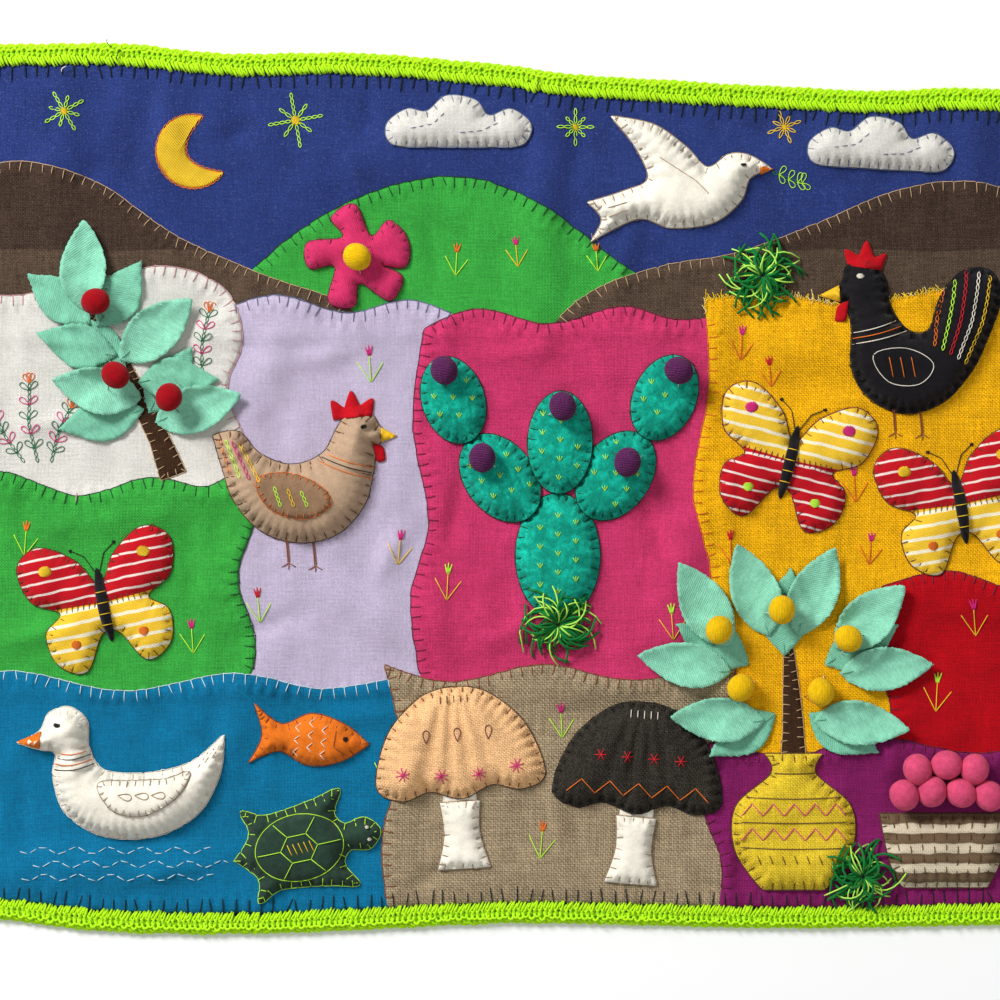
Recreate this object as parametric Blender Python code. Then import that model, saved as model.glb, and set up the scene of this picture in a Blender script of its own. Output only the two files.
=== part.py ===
"""An arpillera: a padded applique picture cloth with a crocheted edging, lying flat on its back.

Metres, +Z up. The origin is the middle of the cloth, on the surface that it lies on. The picture's
top points to +Y. Each piece that a maker would cut and sew on is its own object. A piece drapes over
what was laid before it, so the order of the calls in main() is the order in which they are sewn.
"""

import math
from collections import namedtuple

import bmesh
import bpy
from mathutils import Vector
from mathutils.bvhtree import BVHTree
from mathutils.geometry import delaunay_2d_cdt

# The cloth and its edging
CLOTH_THICK = 0.0020
CLOTH_COLUMNS = 48
CLOTH_ROWS = 32
EDGING_WIDE = 0.0090
EDGING_TALL = 0.0042
SEAM = 0.0003

# Sewn-on pieces
BALL_RADIUS = 0.0063
BALL_FLATTENING = 0.90
LEAF_THICK = 0.0012
LEAF_CUP = 0.0040
LEAF_TIP_LIFT = 0.0035
PUFF_EDGE = 0.0016
TUFT_STRANDS = 18
STRAND_RADIUS = 0.0007
TUFT_CORE_RADIUS = 0.0045
TUFT_CORE_TALL = 0.0030
BASKET_X, BASKET_Y = 0.200, -0.162

ABOVE_ALL = 0.1
DOWN = Vector((0, 0, -1))
SHARP = True

# The cloth's own edge, inside the edging. It is uneven, as a hand-sewn cloth is.
Edge = namedtuple("Edge", "along across")
TOP_EDGE = [
    Edge(-0.291, 0.1885), Edge(-0.225, 0.1910), Edge(-0.173, 0.1915), Edge(-0.117, 0.1868),
    Edge(-0.070, 0.1875), Edge(0.005, 0.1818), Edge(0.025, 0.1785), Edge(0.112, 0.1730),
    Edge(0.175, 0.1702), Edge(0.209, 0.1715), Edge(0.291, 0.1680),
]
BOTTOM_EDGE = [
    Edge(-0.291, -0.1815), Edge(-0.225, -0.1850), Edge(-0.180, -0.1900), Edge(-0.110, -0.1912),
    Edge(0.000, -0.1865), Edge(0.045, -0.1868), Edge(0.120, -0.1887), Edge(0.180, -0.1880),
    Edge(0.291, -0.1855),
]
LEFT_EDGE = [Edge(-0.185, -0.289), Edge(-0.060, -0.292), Edge(0.070, -0.288), Edge(0.185, -0.291)]
RIGHT_EDGE = [Edge(-0.185, 0.290), Edge(-0.050, 0.287), Edge(0.080, 0.292), Edge(0.185, 0.289)]

# Soft folds and old creases: a ridge's middle, the way it runs, its length, half its width, its height
Fold = namedtuple("Fold", "x y degrees long reach high")
FOLDS = [
    Fold(0.019, 0.120, 88, 0.180, 0.015, 0.0036),
    Fold(-0.198, 0.155, 95, 0.110, 0.016, 0.0030),
    Fold(-0.150, 0.160, 84, 0.090, 0.014, 0.0026),
    Fold(0.150, 0.152, 4, 0.140, 0.016, 0.0028),
    Fold(0.214, 0.150, 92, 0.080, 0.015, 0.0030),
    Fold(-0.065, 0.145, 10, 0.100, 0.017, 0.0022),
    Fold(0.125, 0.062, 2, 0.230, 0.017, 0.0034),
    Fold(-0.165, -0.010, 6, 0.160, 0.016, 0.0028),
    Fold(0.215, -0.048, 178, 0.150, 0.018, 0.0036),
    Fold(-0.040, -0.060, 165, 0.150, 0.018, 0.0026),
    Fold(0.085, -0.025, 75, 0.110, 0.016, 0.0024),
    Fold(-0.185, -0.170, 3, 0.200, 0.015, 0.0030),
    Fold(0.010, -0.172, 176, 0.150, 0.015, 0.0028),
    Fold(0.170, -0.168, 4, 0.130, 0.016, 0.0032),
    Fold(-0.245, 0.060, 98, 0.160, 0.018, 0.0030),
    Fold(0.262, 0.070, 84, 0.170, 0.018, 0.0032),
    Fold(-0.115, -0.100, 70, 0.090, 0.016, 0.0022),
    Fold(-0.105, 0.055, 60, 0.090, 0.016, 0.0022),
]

COLOURS = {
    "ground": (0.55, 0.47, 0.36), "edging": (0.45, 0.86, 0.03), "mint": (0.30, 0.62, 0.48),
    "teal": (0.01, 0.34, 0.25), "red": (0.35, 0.01, 0.02), "yellow": (0.78, 0.50, 0.02),
    "purple": (0.09, 0.03, 0.10), "pink": (0.48, 0.06, 0.13), "cream": (0.78, 0.72, 0.60),
    "taupe": (0.46, 0.32, 0.22), "black": (0.012, 0.012, 0.014), "dark_green": (0.035, 0.06, 0.045),
    "peach": (0.74, 0.42, 0.22), "charcoal": (0.045, 0.038, 0.032), "mustard": (0.58, 0.42, 0.04),
    "straw": (0.40, 0.30, 0.18), "red_stripe": (0.50, 0.03, 0.04), "yellow_stripe": (0.78, 0.58, 0.08),
    "grass": (0.01, 0.20, 0.05),
}

Ball = namedtuple("Ball", "name colour x y")
Leaf = namedtuple("Leaf", "name x y degrees long wide")
Pad = namedtuple("Pad", "name x y degrees long wide high")
Puff = namedtuple("Puff", "name colour outline x y degrees high soft cell")
Tuft = namedtuple("Tuft", "name x y reach turn")

# Outlines of the padded pieces, each from its own middle. SHARP marks a corner.
HEN = [
    (-0.041, 0.020, SHARP), (-0.030, 0.022), (-0.020, 0.012), (-0.006, 0.007), (0.008, 0.012),
    (0.015, 0.024), (0.021, 0.032), (0.030, 0.030), (0.034, 0.024), (0.041, 0.020, SHARP),
    (0.033, 0.016), (0.031, 0.004), (0.027, -0.011), (0.015, -0.024), (-0.002, -0.028),
    (-0.019, -0.023), (-0.031, -0.010), (-0.037, 0.006),
]
DUCK = [
    (-0.047, 0.018, SHARP), (-0.037, 0.023), (-0.033, 0.031), (-0.024, 0.034), (-0.016, 0.028),
    (-0.015, 0.016), (-0.009, 0.006), (0.006, 0.004), (0.022, 0.006), (0.034, 0.011),
    (0.046, 0.022, SHARP), (0.044, 0.004), (0.034, -0.014), (0.015, -0.024), (-0.008, -0.024),
    (-0.025, -0.014), (-0.031, 0.002), (-0.030, 0.013), (-0.037, 0.015),
]
DOVE = [
    (-0.043, -0.002, SHARP), (-0.026, 0.002), (-0.015, 0.007), (-0.020, 0.022), (-0.030, 0.036, SHARP),
    (-0.011, 0.031), (0.003, 0.020), (0.012, 0.010), (0.022, 0.015), (0.031, 0.014),
    (0.041, 0.007, SHARP), (0.031, 0.004), (0.026, -0.006), (0.013, -0.015), (-0.006, -0.016),
    (-0.021, -0.011), (-0.043, -0.020, SHARP), (-0.037, -0.010),
]
ROOSTER = [
    (-0.036, 0.025, SHARP), (-0.027, 0.030), (-0.023, 0.040), (-0.014, 0.041), (-0.007, 0.033),
    (-0.004, 0.019), (0.004, 0.009), (0.013, 0.010), (0.018, 0.024), (0.028, 0.036),
    (0.041, 0.036), (0.045, 0.024), (0.040, 0.008), (0.032, -0.009), (0.019, -0.023),
    (0.002, -0.028), (-0.014, -0.021), (-0.022, -0.007), (-0.022, 0.010), (-0.025, 0.021),
]
FISH = [
    (0.027, 0.001, SHARP), (0.015, 0.009), (0.000, 0.012), (-0.013, 0.006), (-0.026, 0.014, SHARP),
    (-0.021, 0.000), (-0.026, -0.013, SHARP), (-0.013, -0.006), (0.000, -0.011), (0.015, -0.008),
]
WINGS = [
    (0.000, 0.009), (0.009, 0.022), (0.024, 0.031), (0.035, 0.024), (0.032, 0.008), (0.020, 0.000),
    (0.028, -0.008), (0.026, -0.022), (0.014, -0.028), (0.004, -0.013), (-0.004, -0.013),
    (-0.014, -0.028), (-0.026, -0.022), (-0.028, -0.008), (-0.020, 0.000), (-0.032, 0.008),
    (-0.035, 0.024), (-0.024, 0.031), (-0.009, 0.022),
]
STEM = [
    (-0.009, 0.015, SHARP), (0.009, 0.015, SHARP), (0.008, 0.000), (0.012, -0.015, SHARP),
    (-0.012, -0.015, SHARP), (-0.008, 0.000),
]
CAP = [
    (-0.038, -0.016), (-0.031, 0.007), (-0.016, 0.022), (-0.004, 0.026, SHARP), (0.004, 0.026, SHARP),
    (0.016, 0.022), (0.031, 0.007), (0.038, -0.016), (0.027, -0.022), (0.014, -0.019),
    (0.000, -0.024), (-0.014, -0.020), (-0.027, -0.023),
]
JAR = [
    (-0.013, 0.031, SHARP), (0.013, 0.031, SHARP), (0.010, 0.022), (0.026, 0.007), (0.026, -0.013),
    (0.014, -0.030, SHARP), (-0.014, -0.030, SHARP), (-0.026, -0.013), (-0.026, 0.007), (-0.010, 0.022),
]
BASKET = [
    (-0.029, 0.016, SHARP), (0.029, 0.016, SHARP), (0.025, -0.005), (0.019, -0.017, SHARP),
    (-0.019, -0.017, SHARP), (-0.025, -0.005),
]
CLOUD = [
    (-0.030, -0.009), (-0.033, 0.000), (-0.024, 0.007), (-0.015, 0.006), (-0.006, 0.013),
    (0.007, 0.011), (0.013, 0.004), (0.023, 0.007), (0.032, 0.000), (0.028, -0.009), (0.012, -0.010),
    (-0.010, -0.010),
]
TURTLE = [
    (0.037, 0.000), (0.031, 0.007), (0.022, 0.006), (0.018, 0.012), (0.023, 0.022), (0.012, 0.020),
    (0.000, 0.018), (-0.013, 0.017), (-0.023, 0.021), (-0.021, 0.010), (-0.030, 0.000, SHARP),
    (-0.021, -0.010), (-0.023, -0.021), (-0.013, -0.017), (0.000, -0.018), (0.012, -0.020),
    (0.023, -0.022), (0.018, -0.012), (0.022, -0.006), (0.031, -0.007),
]
FLOWER = [
    (0.024, 0.000), (0.019, 0.011), (0.009, 0.007), (0.007, 0.023), (-0.005, 0.021), (-0.003, 0.011),
    (-0.019, 0.014), (-0.022, 0.003), (-0.011, 0.000), (-0.019, -0.014), (-0.009, -0.020),
    (-0.003, -0.011), (0.007, -0.023), (0.016, -0.015), (0.009, -0.007), (0.019, -0.011),
]

PUFFS = [
    Puff("cloud_left", "cream", CLOUD, -0.018, 0.164, 0, 0.0050, 0.008, 0.009),
    Puff("cloud_right", "cream", CLOUD, 0.172, 0.154, -3, 0.0050, 0.008, 0.009),
    Puff("dove", "cream", DOVE, 0.082, 0.134, 4, 0.0085, 0.011, 0.010),
    Puff("rooster", "black", ROOSTER, 0.180, 0.062, 0, 0.0090, 0.013, 0.010),
    Puff("hen", "taupe", HEN, -0.088, 0.004, 0, 0.0100, 0.014, 0.010),
    Puff("duck", "cream", DUCK, -0.170, -0.132, 0, 0.0100, 0.014, 0.010),
    Puff("fish", "taupe", FISH, -0.086, -0.113, -6, 0.0060, 0.008, 0.009),
    Puff("butterfly_left", "red_stripe", WINGS, -0.178, -0.052, 12, 0.0055, 0.009, 0.009),
    Puff("butterfly_middle", "yellow_stripe", WINGS, 0.130, 0.012, -14, 0.0055, 0.009, 0.009),
    Puff("butterfly_right", "red_stripe", WINGS, 0.207, -0.008, 10, 0.0055, 0.009, 0.009),
    Puff("mushroom_stem_peach", "cream", STEM, -0.017, -0.1555, 4, 0.0050, 0.007, 0.009),
    Puff("mushroom_cap_peach", "peach", CAP, -0.019, -0.115, 5, 0.0075, 0.012, 0.009),
    Puff("mushroom_stem_grey", "cream", STEM, 0.060, -0.1625, -5, 0.0050, 0.007, 0.009),
    Puff("mushroom_cap_grey", "charcoal", CAP, 0.063, -0.122, -5, 0.0075, 0.012, 0.009),
    Puff("jar", "mustard", JAR, 0.132, -0.150, 0, 0.0055, 0.009, 0.010),
    Puff("basket", "straw", BASKET, BASKET_X, BASKET_Y, 0, 0.0050, 0.007, 0.010),
    Puff("turtle", "dark_green", TURTLE, -0.090, -0.161, 12, 0.0070, 0.012, 0.009),
    Puff("flower", "pink", FLOWER, -0.064, 0.104, 20, 0.0045, 0.006, 0.007),
]
CACTUS_PADS = [
    Pad("cactus_pad_a", 0.026, -0.030, 90, 0.056, 0.038, 0.0075),
    Pad("cactus_pad_b", 0.000, 0.005, 128, 0.044, 0.031, 0.0065),
    Pad("cactus_pad_c", 0.052, 0.006, 54, 0.044, 0.031, 0.0065),
    Pad("cactus_pad_d", -0.021, 0.040, 108, 0.040, 0.028, 0.0060),
    Pad("cactus_pad_e", 0.027, 0.021, 88, 0.046, 0.029, 0.0065),
    Pad("cactus_pad_f", 0.074, 0.041, 66, 0.040, 0.028, 0.0060),
]
SPRAY_LEAVES = [
    Leaf("spray_leaf_a", 0.119, -0.104, 180, 0.043, 0.020),
    Leaf("spray_leaf_b", 0.141, -0.104, 0, 0.043, 0.020),
    Leaf("spray_leaf_c", 0.104, -0.082, 172, 0.043, 0.020),
    Leaf("spray_leaf_d", 0.104, -0.070, 128, 0.044, 0.022),
    Leaf("spray_leaf_e", 0.121, -0.066, 107, 0.044, 0.022),
    Leaf("spray_leaf_f", 0.134, -0.066, 73, 0.043, 0.022),
    Leaf("spray_leaf_g", 0.151, -0.072, 44, 0.042, 0.022),
    Leaf("spray_leaf_h", 0.153, -0.083, 8, 0.042, 0.020),
]
VINE_LEAVES = [
    Leaf("vine_leaf_a", -0.155, 0.030, 18, 0.041, 0.021),
    Leaf("vine_leaf_b", -0.161, 0.041, 172, 0.041, 0.021),
    Leaf("vine_leaf_c", -0.171, 0.058, 38, 0.043, 0.022),
    Leaf("vine_leaf_d", -0.186, 0.080, 96, 0.041, 0.021),
]
BALLS = [
    Ball("cactus_ball_a", "purple", -0.025, 0.053), Ball("cactus_ball_b", "purple", 0.028, 0.037),
    Ball("cactus_ball_c", "purple", 0.080, 0.053), Ball("cactus_ball_d", "purple", -0.008, 0.014),
    Ball("cactus_ball_e", "purple", 0.057, 0.012),
    Ball("spray_ball_a", "yellow", 0.108, -0.089), Ball("spray_ball_b", "yellow", 0.144, -0.091),
    Ball("spray_ball_c", "yellow", 0.098, -0.063), Ball("spray_ball_d", "yellow", 0.126, -0.054),
    Ball("spray_ball_e", "yellow", 0.156, -0.067),
    Ball("vine_ball_a", "red", -0.148, 0.041), Ball("vine_ball_b", "red", -0.172, 0.051),
    Ball("vine_ball_c", "red", -0.181, 0.084),
    Ball("flower_ball", "yellow", -0.064, 0.104),
]
TUFTS = [
    Tuft("tuft_cactus", 0.026, -0.061, 0.021, 10),
    Tuft("tuft_ridge", 0.118, 0.096, 0.020, 35),
    Tuft("tuft_jar", 0.163, -0.174, 0.019, 50),
]
# The basket's balls, from the basket's middle
HEAP = [
    (-0.0190, 0.0250), (-0.0065, 0.0265), (0.0065, 0.0260), (0.0190, 0.0245), (-0.0130, 0.0365),
    (0.0000, 0.0385), (0.0125, 0.0365),
]

# What has been laid so far, as points and faces for a downward look
PILE_POINTS = []
PILE_FACES = []
PILE = {"tree": None}


def lift(x, y):
    """How far the folds raise the cloth off the surface that it lies on. Between them it is flat."""
    total = 0.0
    for fold in FOLDS:
        way = math.radians(fold.degrees)
        along = (x - fold.x) * math.cos(way) + (y - fold.y) * math.sin(way)
        across = (y - fold.y) * math.cos(way) - (x - fold.x) * math.sin(way)
        total += fold.high * bump(along / (fold.long / 2)) * bump(across / fold.reach)
    return total


def bump(share):
    """A smooth hump, 1 in its middle and 0 from share 1 outward."""
    return (1 - share * share) ** 2 if abs(share) < 1 else 0.0


def edge_at(table, along):
    """The cloth's edge between the points of its table, as a smooth curve."""
    table = [table[0]] + table + [table[-1]]
    k = 1
    while k < len(table) - 3 and along > table[k + 1].along:
        k += 1
    before, start, end, after = table[k - 1 : k + 3]
    span = end.along - start.along
    t = min(1.0, max(0.0, (along - start.along) / span))
    leave = (end.across - before.across) / (end.along - before.along) * span
    arrive = (after.across - start.across) / (after.along - start.along) * span
    return (
        start.across * (2 * t**3 - 3 * t**2 + 1)
        + leave * (t**3 - 2 * t**2 + t)
        + end.across * (3 * t**2 - 2 * t**3)
        + arrive * (t**3 - t**2)
    )


def cloth_point(s, t):
    """The place on the cloth at shares s across and t up."""
    x_plain = TOP_EDGE[0].along + s * (TOP_EDGE[-1].along - TOP_EDGE[0].along)
    y_plain = LEFT_EDGE[0].along + t * (LEFT_EDGE[-1].along - LEFT_EDGE[0].along)
    left, right = edge_at(LEFT_EDGE, y_plain), edge_at(RIGHT_EDGE, y_plain)
    low, high = edge_at(BOTTOM_EDGE, x_plain), edge_at(TOP_EDGE, x_plain)
    return left + s * (right - left), low + t * (high - low)


def smooth(points, steps=2):
    """A closed curve through an outline's points, straight into and out of its sharp corners."""
    made = []
    count = len(points)
    for k in range(count):
        before, start, end, after = (points[(k + d) % count] for d in (-1, 0, 1, 2))
        leave = (0, 0) if len(start) == 3 else ((end[0] - before[0]) / 2, (end[1] - before[1]) / 2)
        arrive = (0, 0) if len(end) == 3 else ((after[0] - start[0]) / 2, (after[1] - start[1]) / 2)
        for step in range(steps):
            t = step / steps
            weights = (2 * t**3 - 3 * t**2 + 1, t**3 - 2 * t**2 + t, 3 * t**2 - 2 * t**3, t**3 - t**2)
            terms = (start, leave, end, arrive)
            made.append(tuple(sum(w * p[axis] for w, p in zip(weights, terms)) for axis in (0, 1)))
    return made


def ellipse(long, wide, count=16):
    turns = (2 * math.pi * k / count for k in range(count))
    return [(long / 2 * math.cos(a), wide / 2 * math.sin(a)) for a in turns]


def leaf_outline(long, wide, count=7):
    """A leaf from its stalk at the origin to its tip on +X, widest a little below its middle."""
    shares = [k / count for k in range(count + 1)]
    half = [wide / 2 * math.sin(math.pi * s**0.85) ** 0.8 for s in shares]
    low = [(s * long, -h) for s, h in zip(shares, half)]
    high = [(s * long, h) for s, h in zip(shares, half)]
    return low + high[-2:0:-1]


def placed(outline, x, y, degrees):
    """An outline turned and moved to its place on the cloth."""
    c, s = math.cos(math.radians(degrees)), math.sin(math.radians(degrees))
    return [(x + px * c - py * s, y + px * s + py * c) for px, py in (p[:2] for p in outline)]


def rim_distance(outline, x, y):
    """How far a point is from an outline's line."""
    least = 1.0
    for (ax, ay), (bx, by) in zip(outline, outline[1:] + outline[:1]):
        dx, dy = bx - ax, by - ay
        t = min(1.0, max(0.0, ((x - ax) * dx + (y - ay) * dy) / (dx * dx + dy * dy)))
        least = min(least, math.hypot(x - ax - t * dx, y - ay - t * dy))
    return least


def inside(outline, x, y):
    """Whether a point lies in an outline."""
    found = False
    for (ax, ay), (bx, by) in zip(outline, outline[1:] + outline[:1]):
        if (ay > y) != (by > y) and x < (bx - ax) * (y - ay) / (by - ay) + ax:
            found = not found
    return found


def filled(outline, cell):
    """Points and triangles that fill an outline, with points inside it about one cell apart."""
    xs, ys = zip(*outline)
    points = [Vector(p) for p in outline]
    row = 0
    y = min(ys) + cell / 2
    while y < max(ys):
        x = min(xs) + cell * (0.5 if row % 2 else 1.0)
        while x < max(xs):
            if inside(outline, x, y) and rim_distance(outline, x, y) > 0.45 * cell:
                points.append(Vector((x, y)))
            x += cell
        y += cell * 0.87
        row += 1
    rim = [(k, (k + 1) % len(outline)) for k in range(len(outline))]
    flat, _, faces, _, _, _ = delaunay_2d_cdt(points, rim, [], 0, 1e-7, True)
    kept = []
    for face in faces:
        middle = sum((flat[k] for k in face), Vector((0, 0))) / len(face)
        if inside(outline, middle.x, middle.y):
            kept.append(list(face))
    return flat, kept


def pile_top(x, y, reach=0.0):
    """The height of what already lies at a place, or the highest within reach of it."""
    spots = [(x, y)]
    if reach:
        eighths = (math.pi * k / 4 for k in range(8))
        spots += [(x + reach * math.cos(a), y + reach * math.sin(a)) for a in eighths]
    hits = (PILE["tree"].ray_cast(Vector((px, py, ABOVE_ALL)), DOWN)[0] for px, py in spots)
    return max((hit.z for hit in hits if hit), default=0.0)


def add_to_pile(obj):
    """Later pieces rest on this one."""
    first = len(PILE_POINTS)
    PILE_POINTS.extend(obj.matrix_world @ v.co for v in obj.data.vertices)
    PILE_FACES.extend([first + k for k in p.vertices] for p in obj.data.polygons)
    PILE["tree"] = BVHTree.FromPolygons(PILE_POINTS, PILE_FACES)


def material(colour):
    """One cloth material for each colour."""
    found = bpy.data.materials.get(colour)
    if found:
        return found
    made = bpy.data.materials.new(colour)
    made.use_nodes = True
    shader = made.node_tree.nodes["Principled BSDF"]
    shader.inputs["Base Color"].default_value = (*COLOURS[colour], 1)
    shader.inputs["Roughness"].default_value = 0.9
    shader.inputs["Metallic"].default_value = 0.0
    return made


def show(name, mesh, colour):
    """An object for a finished mesh, added to what later pieces rest on."""
    mesh.materials.append(material(colour))
    obj = bpy.data.objects.new(name, mesh)
    bpy.context.scene.collection.objects.link(obj)
    add_to_pile(obj)


def finish(name, body, colour):
    """Turns a closed bmesh into an object, in triangles that face out."""
    bmesh.ops.triangulate(body, faces=body.faces[:])
    bmesh.ops.recalc_face_normals(body, faces=body.faces[:])
    mesh = bpy.data.meshes.new(name)
    body.to_mesh(mesh)
    body.free()
    show(name, mesh, colour)


def slab(name, outline, cell, under, over, colour):
    """A closed solid over an outline. Its underside follows under(x, y) and its top over(x, y)."""
    flat, faces = filled(outline, cell)
    body = bmesh.new()
    low = [body.verts.new((p.x, p.y, under(p.x, p.y))) for p in flat]
    high = [body.verts.new((p.x, p.y, over(p.x, p.y))) for p in flat]
    used = {}
    for face in faces:
        for a, b in zip(face, face[1:] + face[:1]):
            used[(a, b)] = used.get((a, b), 0) + 1
        body.faces.new([high[k] for k in face])
        body.faces.new([low[k] for k in reversed(face)])
    for a, b in used:
        if (b, a) not in used:
            body.faces.new([low[a], low[b], high[b], high[a]])
    finish(name, body, colour)


def ground_cloth():
    """The sewn cloth: one sheet with its folds, flat on the surface between them."""
    body = bmesh.new()
    sides = []
    for thick in (0.0, CLOTH_THICK):
        grid = []
        for j in range(CLOTH_ROWS + 1):
            places = [cloth_point(i / CLOTH_COLUMNS, j / CLOTH_ROWS) for i in range(CLOTH_COLUMNS + 1)]
            grid.append([body.verts.new((x, y, lift(x, y) + thick)) for x, y in places])
        sides.append(grid)
    for grid, up in ((sides[0], False), (sides[1], True)):
        for j in range(CLOTH_ROWS):
            for i in range(CLOTH_COLUMNS):
                corners = [grid[j][i], grid[j][i + 1], grid[j + 1][i + 1], grid[j + 1][i]]
                corners = corners if up else corners[::-1]
                body.faces.new([corners[0], corners[1], corners[2]])
                body.faces.new([corners[0], corners[2], corners[3]])
    low_rim, high_rim = (cloth_rim(grid) for grid in sides)
    for k in range(len(low_rim)):
        n = (k + 1) % len(low_rim)
        body.faces.new([low_rim[k], low_rim[n], high_rim[n], high_rim[k]])
    finish("ground_cloth", body, "ground")


def cloth_rim(grid):
    """The vertices round a grid's edge, in order."""
    bottom, top = grid[0], grid[-1][::-1]
    right = [row[-1] for row in grid[1:-1]]
    left = [row[0] for row in grid[1:-1]][::-1]
    return bottom + right + top + left


def edging(name, stations, out):
    """A crocheted strip beside the cloth. Its section is a flat bar with a round back."""
    section = [
        (0.0, 0.0), (EDGING_WIDE * 0.90, 0.0), (EDGING_WIDE, EDGING_TALL * 0.45),
        (EDGING_WIDE * 0.80, EDGING_TALL), (EDGING_WIDE * 0.12, EDGING_TALL * 0.92),
    ]
    body = bmesh.new()
    rings = []
    for x, y in stations:
        ring = []
        for across, up in section:
            px, py = x + out[0] * (SEAM + across), y + out[1] * (SEAM + across)
            ring.append(body.verts.new((px, py, lift(px, py) + up)))
        rings.append(ring)
    for first, second in zip(rings, rings[1:]):
        for k in range(len(section)):
            n = (k + 1) % len(section)
            body.faces.new([first[k], first[n], second[n], second[k]])
    body.faces.new(rings[0])
    body.faces.new(rings[-1])
    finish(name, body, "edging")


def edgings():
    """Top and bottom strips run over the corners. The side strips fit between them."""
    overhang = SEAM + EDGING_WIDE
    shares = [i / CLOTH_COLUMNS for i in range(CLOTH_COLUMNS + 1)]
    for name, t, out in (("edging_top", 1, (0, 1)), ("edging_bottom", 0, (0, -1))):
        along = [cloth_point(s, t) for s in shares]
        first, last = along[0], along[-1]
        along = [(first[0] - overhang, first[1])] + along + [(last[0] + overhang, last[1])]
        edging(name, along, out)
    rises = [j / CLOTH_ROWS for j in range(CLOTH_ROWS + 1)]
    for name, s, out in (("edging_left", 0, (-1, 0)), ("edging_right", 1, (1, 0))):
        edging(name, [cloth_point(s, t) for t in rises], out)


def puff(piece):
    """A stuffed piece: it rises from a thin sewn rim to a round back."""
    outline = placed(smooth(piece.outline), piece.x, piece.y, piece.degrees)
    puff_solid(piece.name, outline, piece.colour, piece.high, piece.soft, piece.cell)


def puff_solid(name, outline, colour, high, soft, cell):
    """The padded solid itself, high at most and rounded over its outer stretch called soft."""
    def under(x, y):
        return pile_top(x, y, 0.65 * cell) + SEAM

    def over(x, y):
        share = min(1.0, rim_distance(outline, x, y) / soft)
        return under(x, y) + PUFF_EDGE + (high - PUFF_EDGE) * math.sqrt(1 - (1 - share) ** 2)

    slab(name, outline, cell, under, over, colour)


def cactus_pad(pad):
    """One padded oval of the cactus, its lower end on the piece below it."""
    outline = placed(ellipse(pad.long, pad.wide), pad.x, pad.y, pad.degrees)
    puff_solid(pad.name, outline, "teal", pad.high, pad.wide * 0.35, 0.0075)


def leaf(piece):
    """A cut leaf, cupped along its midrib and lifted at its tip."""
    outline = placed(leaf_outline(piece.long, piece.wide), piece.x, piece.y, piece.degrees)
    way = math.radians(piece.degrees)

    def under(x, y):
        along = ((x - piece.x) * math.cos(way) + (y - piece.y) * math.sin(way)) / piece.long
        across = ((y - piece.y) * math.cos(way) - (x - piece.x) * math.sin(way)) / (piece.wide / 2)
        rise = LEAF_CUP * across**2 + LEAF_TIP_LIFT * max(0.0, along - 0.5) ** 2 / 0.25
        return pile_top(x, y, 0.003) + SEAM + rise * min(1.0, max(0.0, along) / 0.2)

    slab(piece.name, outline, 0.0075, under, lambda x, y: under(x, y) + LEAF_THICK, "mint")


def sphere(x, y, z, radius, flattening, columns=8, rows=6):
    """A ball, flattened a little from above, as a new bmesh."""
    body = bmesh.new()
    bmesh.ops.create_uvsphere(body, u_segments=columns, v_segments=rows, radius=radius)
    bmesh.ops.scale(body, vec=(1, 1, flattening), verts=body.verts[:])
    bmesh.ops.translate(body, vec=(x, y, z), verts=body.verts[:])
    bmesh.ops.triangulate(body, faces=body.faces[:])
    return body


def seat(x, y, radius, flattening):
    """The height of a ball's middle when it just clears all that lies under it."""
    height = 0.0
    for ring in range(11):
        share = ring / 11
        for k in range(24):
            px = x + share * radius * math.cos(math.pi * k / 12)
            py = y + share * radius * math.sin(math.pi * k / 12)
            drop = flattening * radius * math.sqrt(1 - share**2)
            height = max(height, pile_top(px, py) + drop)
    return height + SEAM


def ball(piece):
    """A stuffed ball, sewn down."""
    height = seat(piece.x, piece.y, BALL_RADIUS, BALL_FLATTENING)
    body = sphere(piece.x, piece.y, height, BALL_RADIUS, BALL_FLATTENING)
    mesh = bpy.data.meshes.new(piece.name)
    body.to_mesh(mesh)
    body.free()
    mesh.shade_smooth()
    show(piece.name, mesh, piece.colour)


def joined(name, first, others, colour):
    """One solid from overlapping objects, which it uses up."""
    for other in others:
        union = first.modifiers.new("union", "BOOLEAN")
        union.operation = "UNION"
        union.use_self = True
        union.object = other
    evaluated = first.evaluated_get(bpy.context.evaluated_depsgraph_get())
    mesh = bpy.data.meshes.new_from_object(evaluated)
    mesh.name = name
    mesh.materials.clear()
    for obj in [first] + others:
        bpy.data.objects.remove(obj)
    show(name, mesh, colour)


def plain_object(name, body):
    """An object for a bmesh, to be joined with others."""
    mesh = bpy.data.meshes.new(name)
    body.to_mesh(mesh)
    body.free()
    obj = bpy.data.objects.new(name, mesh)
    bpy.context.scene.collection.objects.link(obj)
    return obj


def ball_heap():
    """The balls at the basket's rim, sewn so tightly that they make one lumpy heap."""
    radius = BALL_RADIUS * 1.12
    places = [(BASKET_X + dx, BASKET_Y + dy) for dx, dy in HEAP]
    height = max(seat(x, y, radius, 1.0) for x, y in places)
    parts = [plain_object("heap", sphere(x, y, height, radius, 1.0)) for x, y in places]
    joined("basket_balls", parts[0], parts[1:], "pink")


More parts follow.
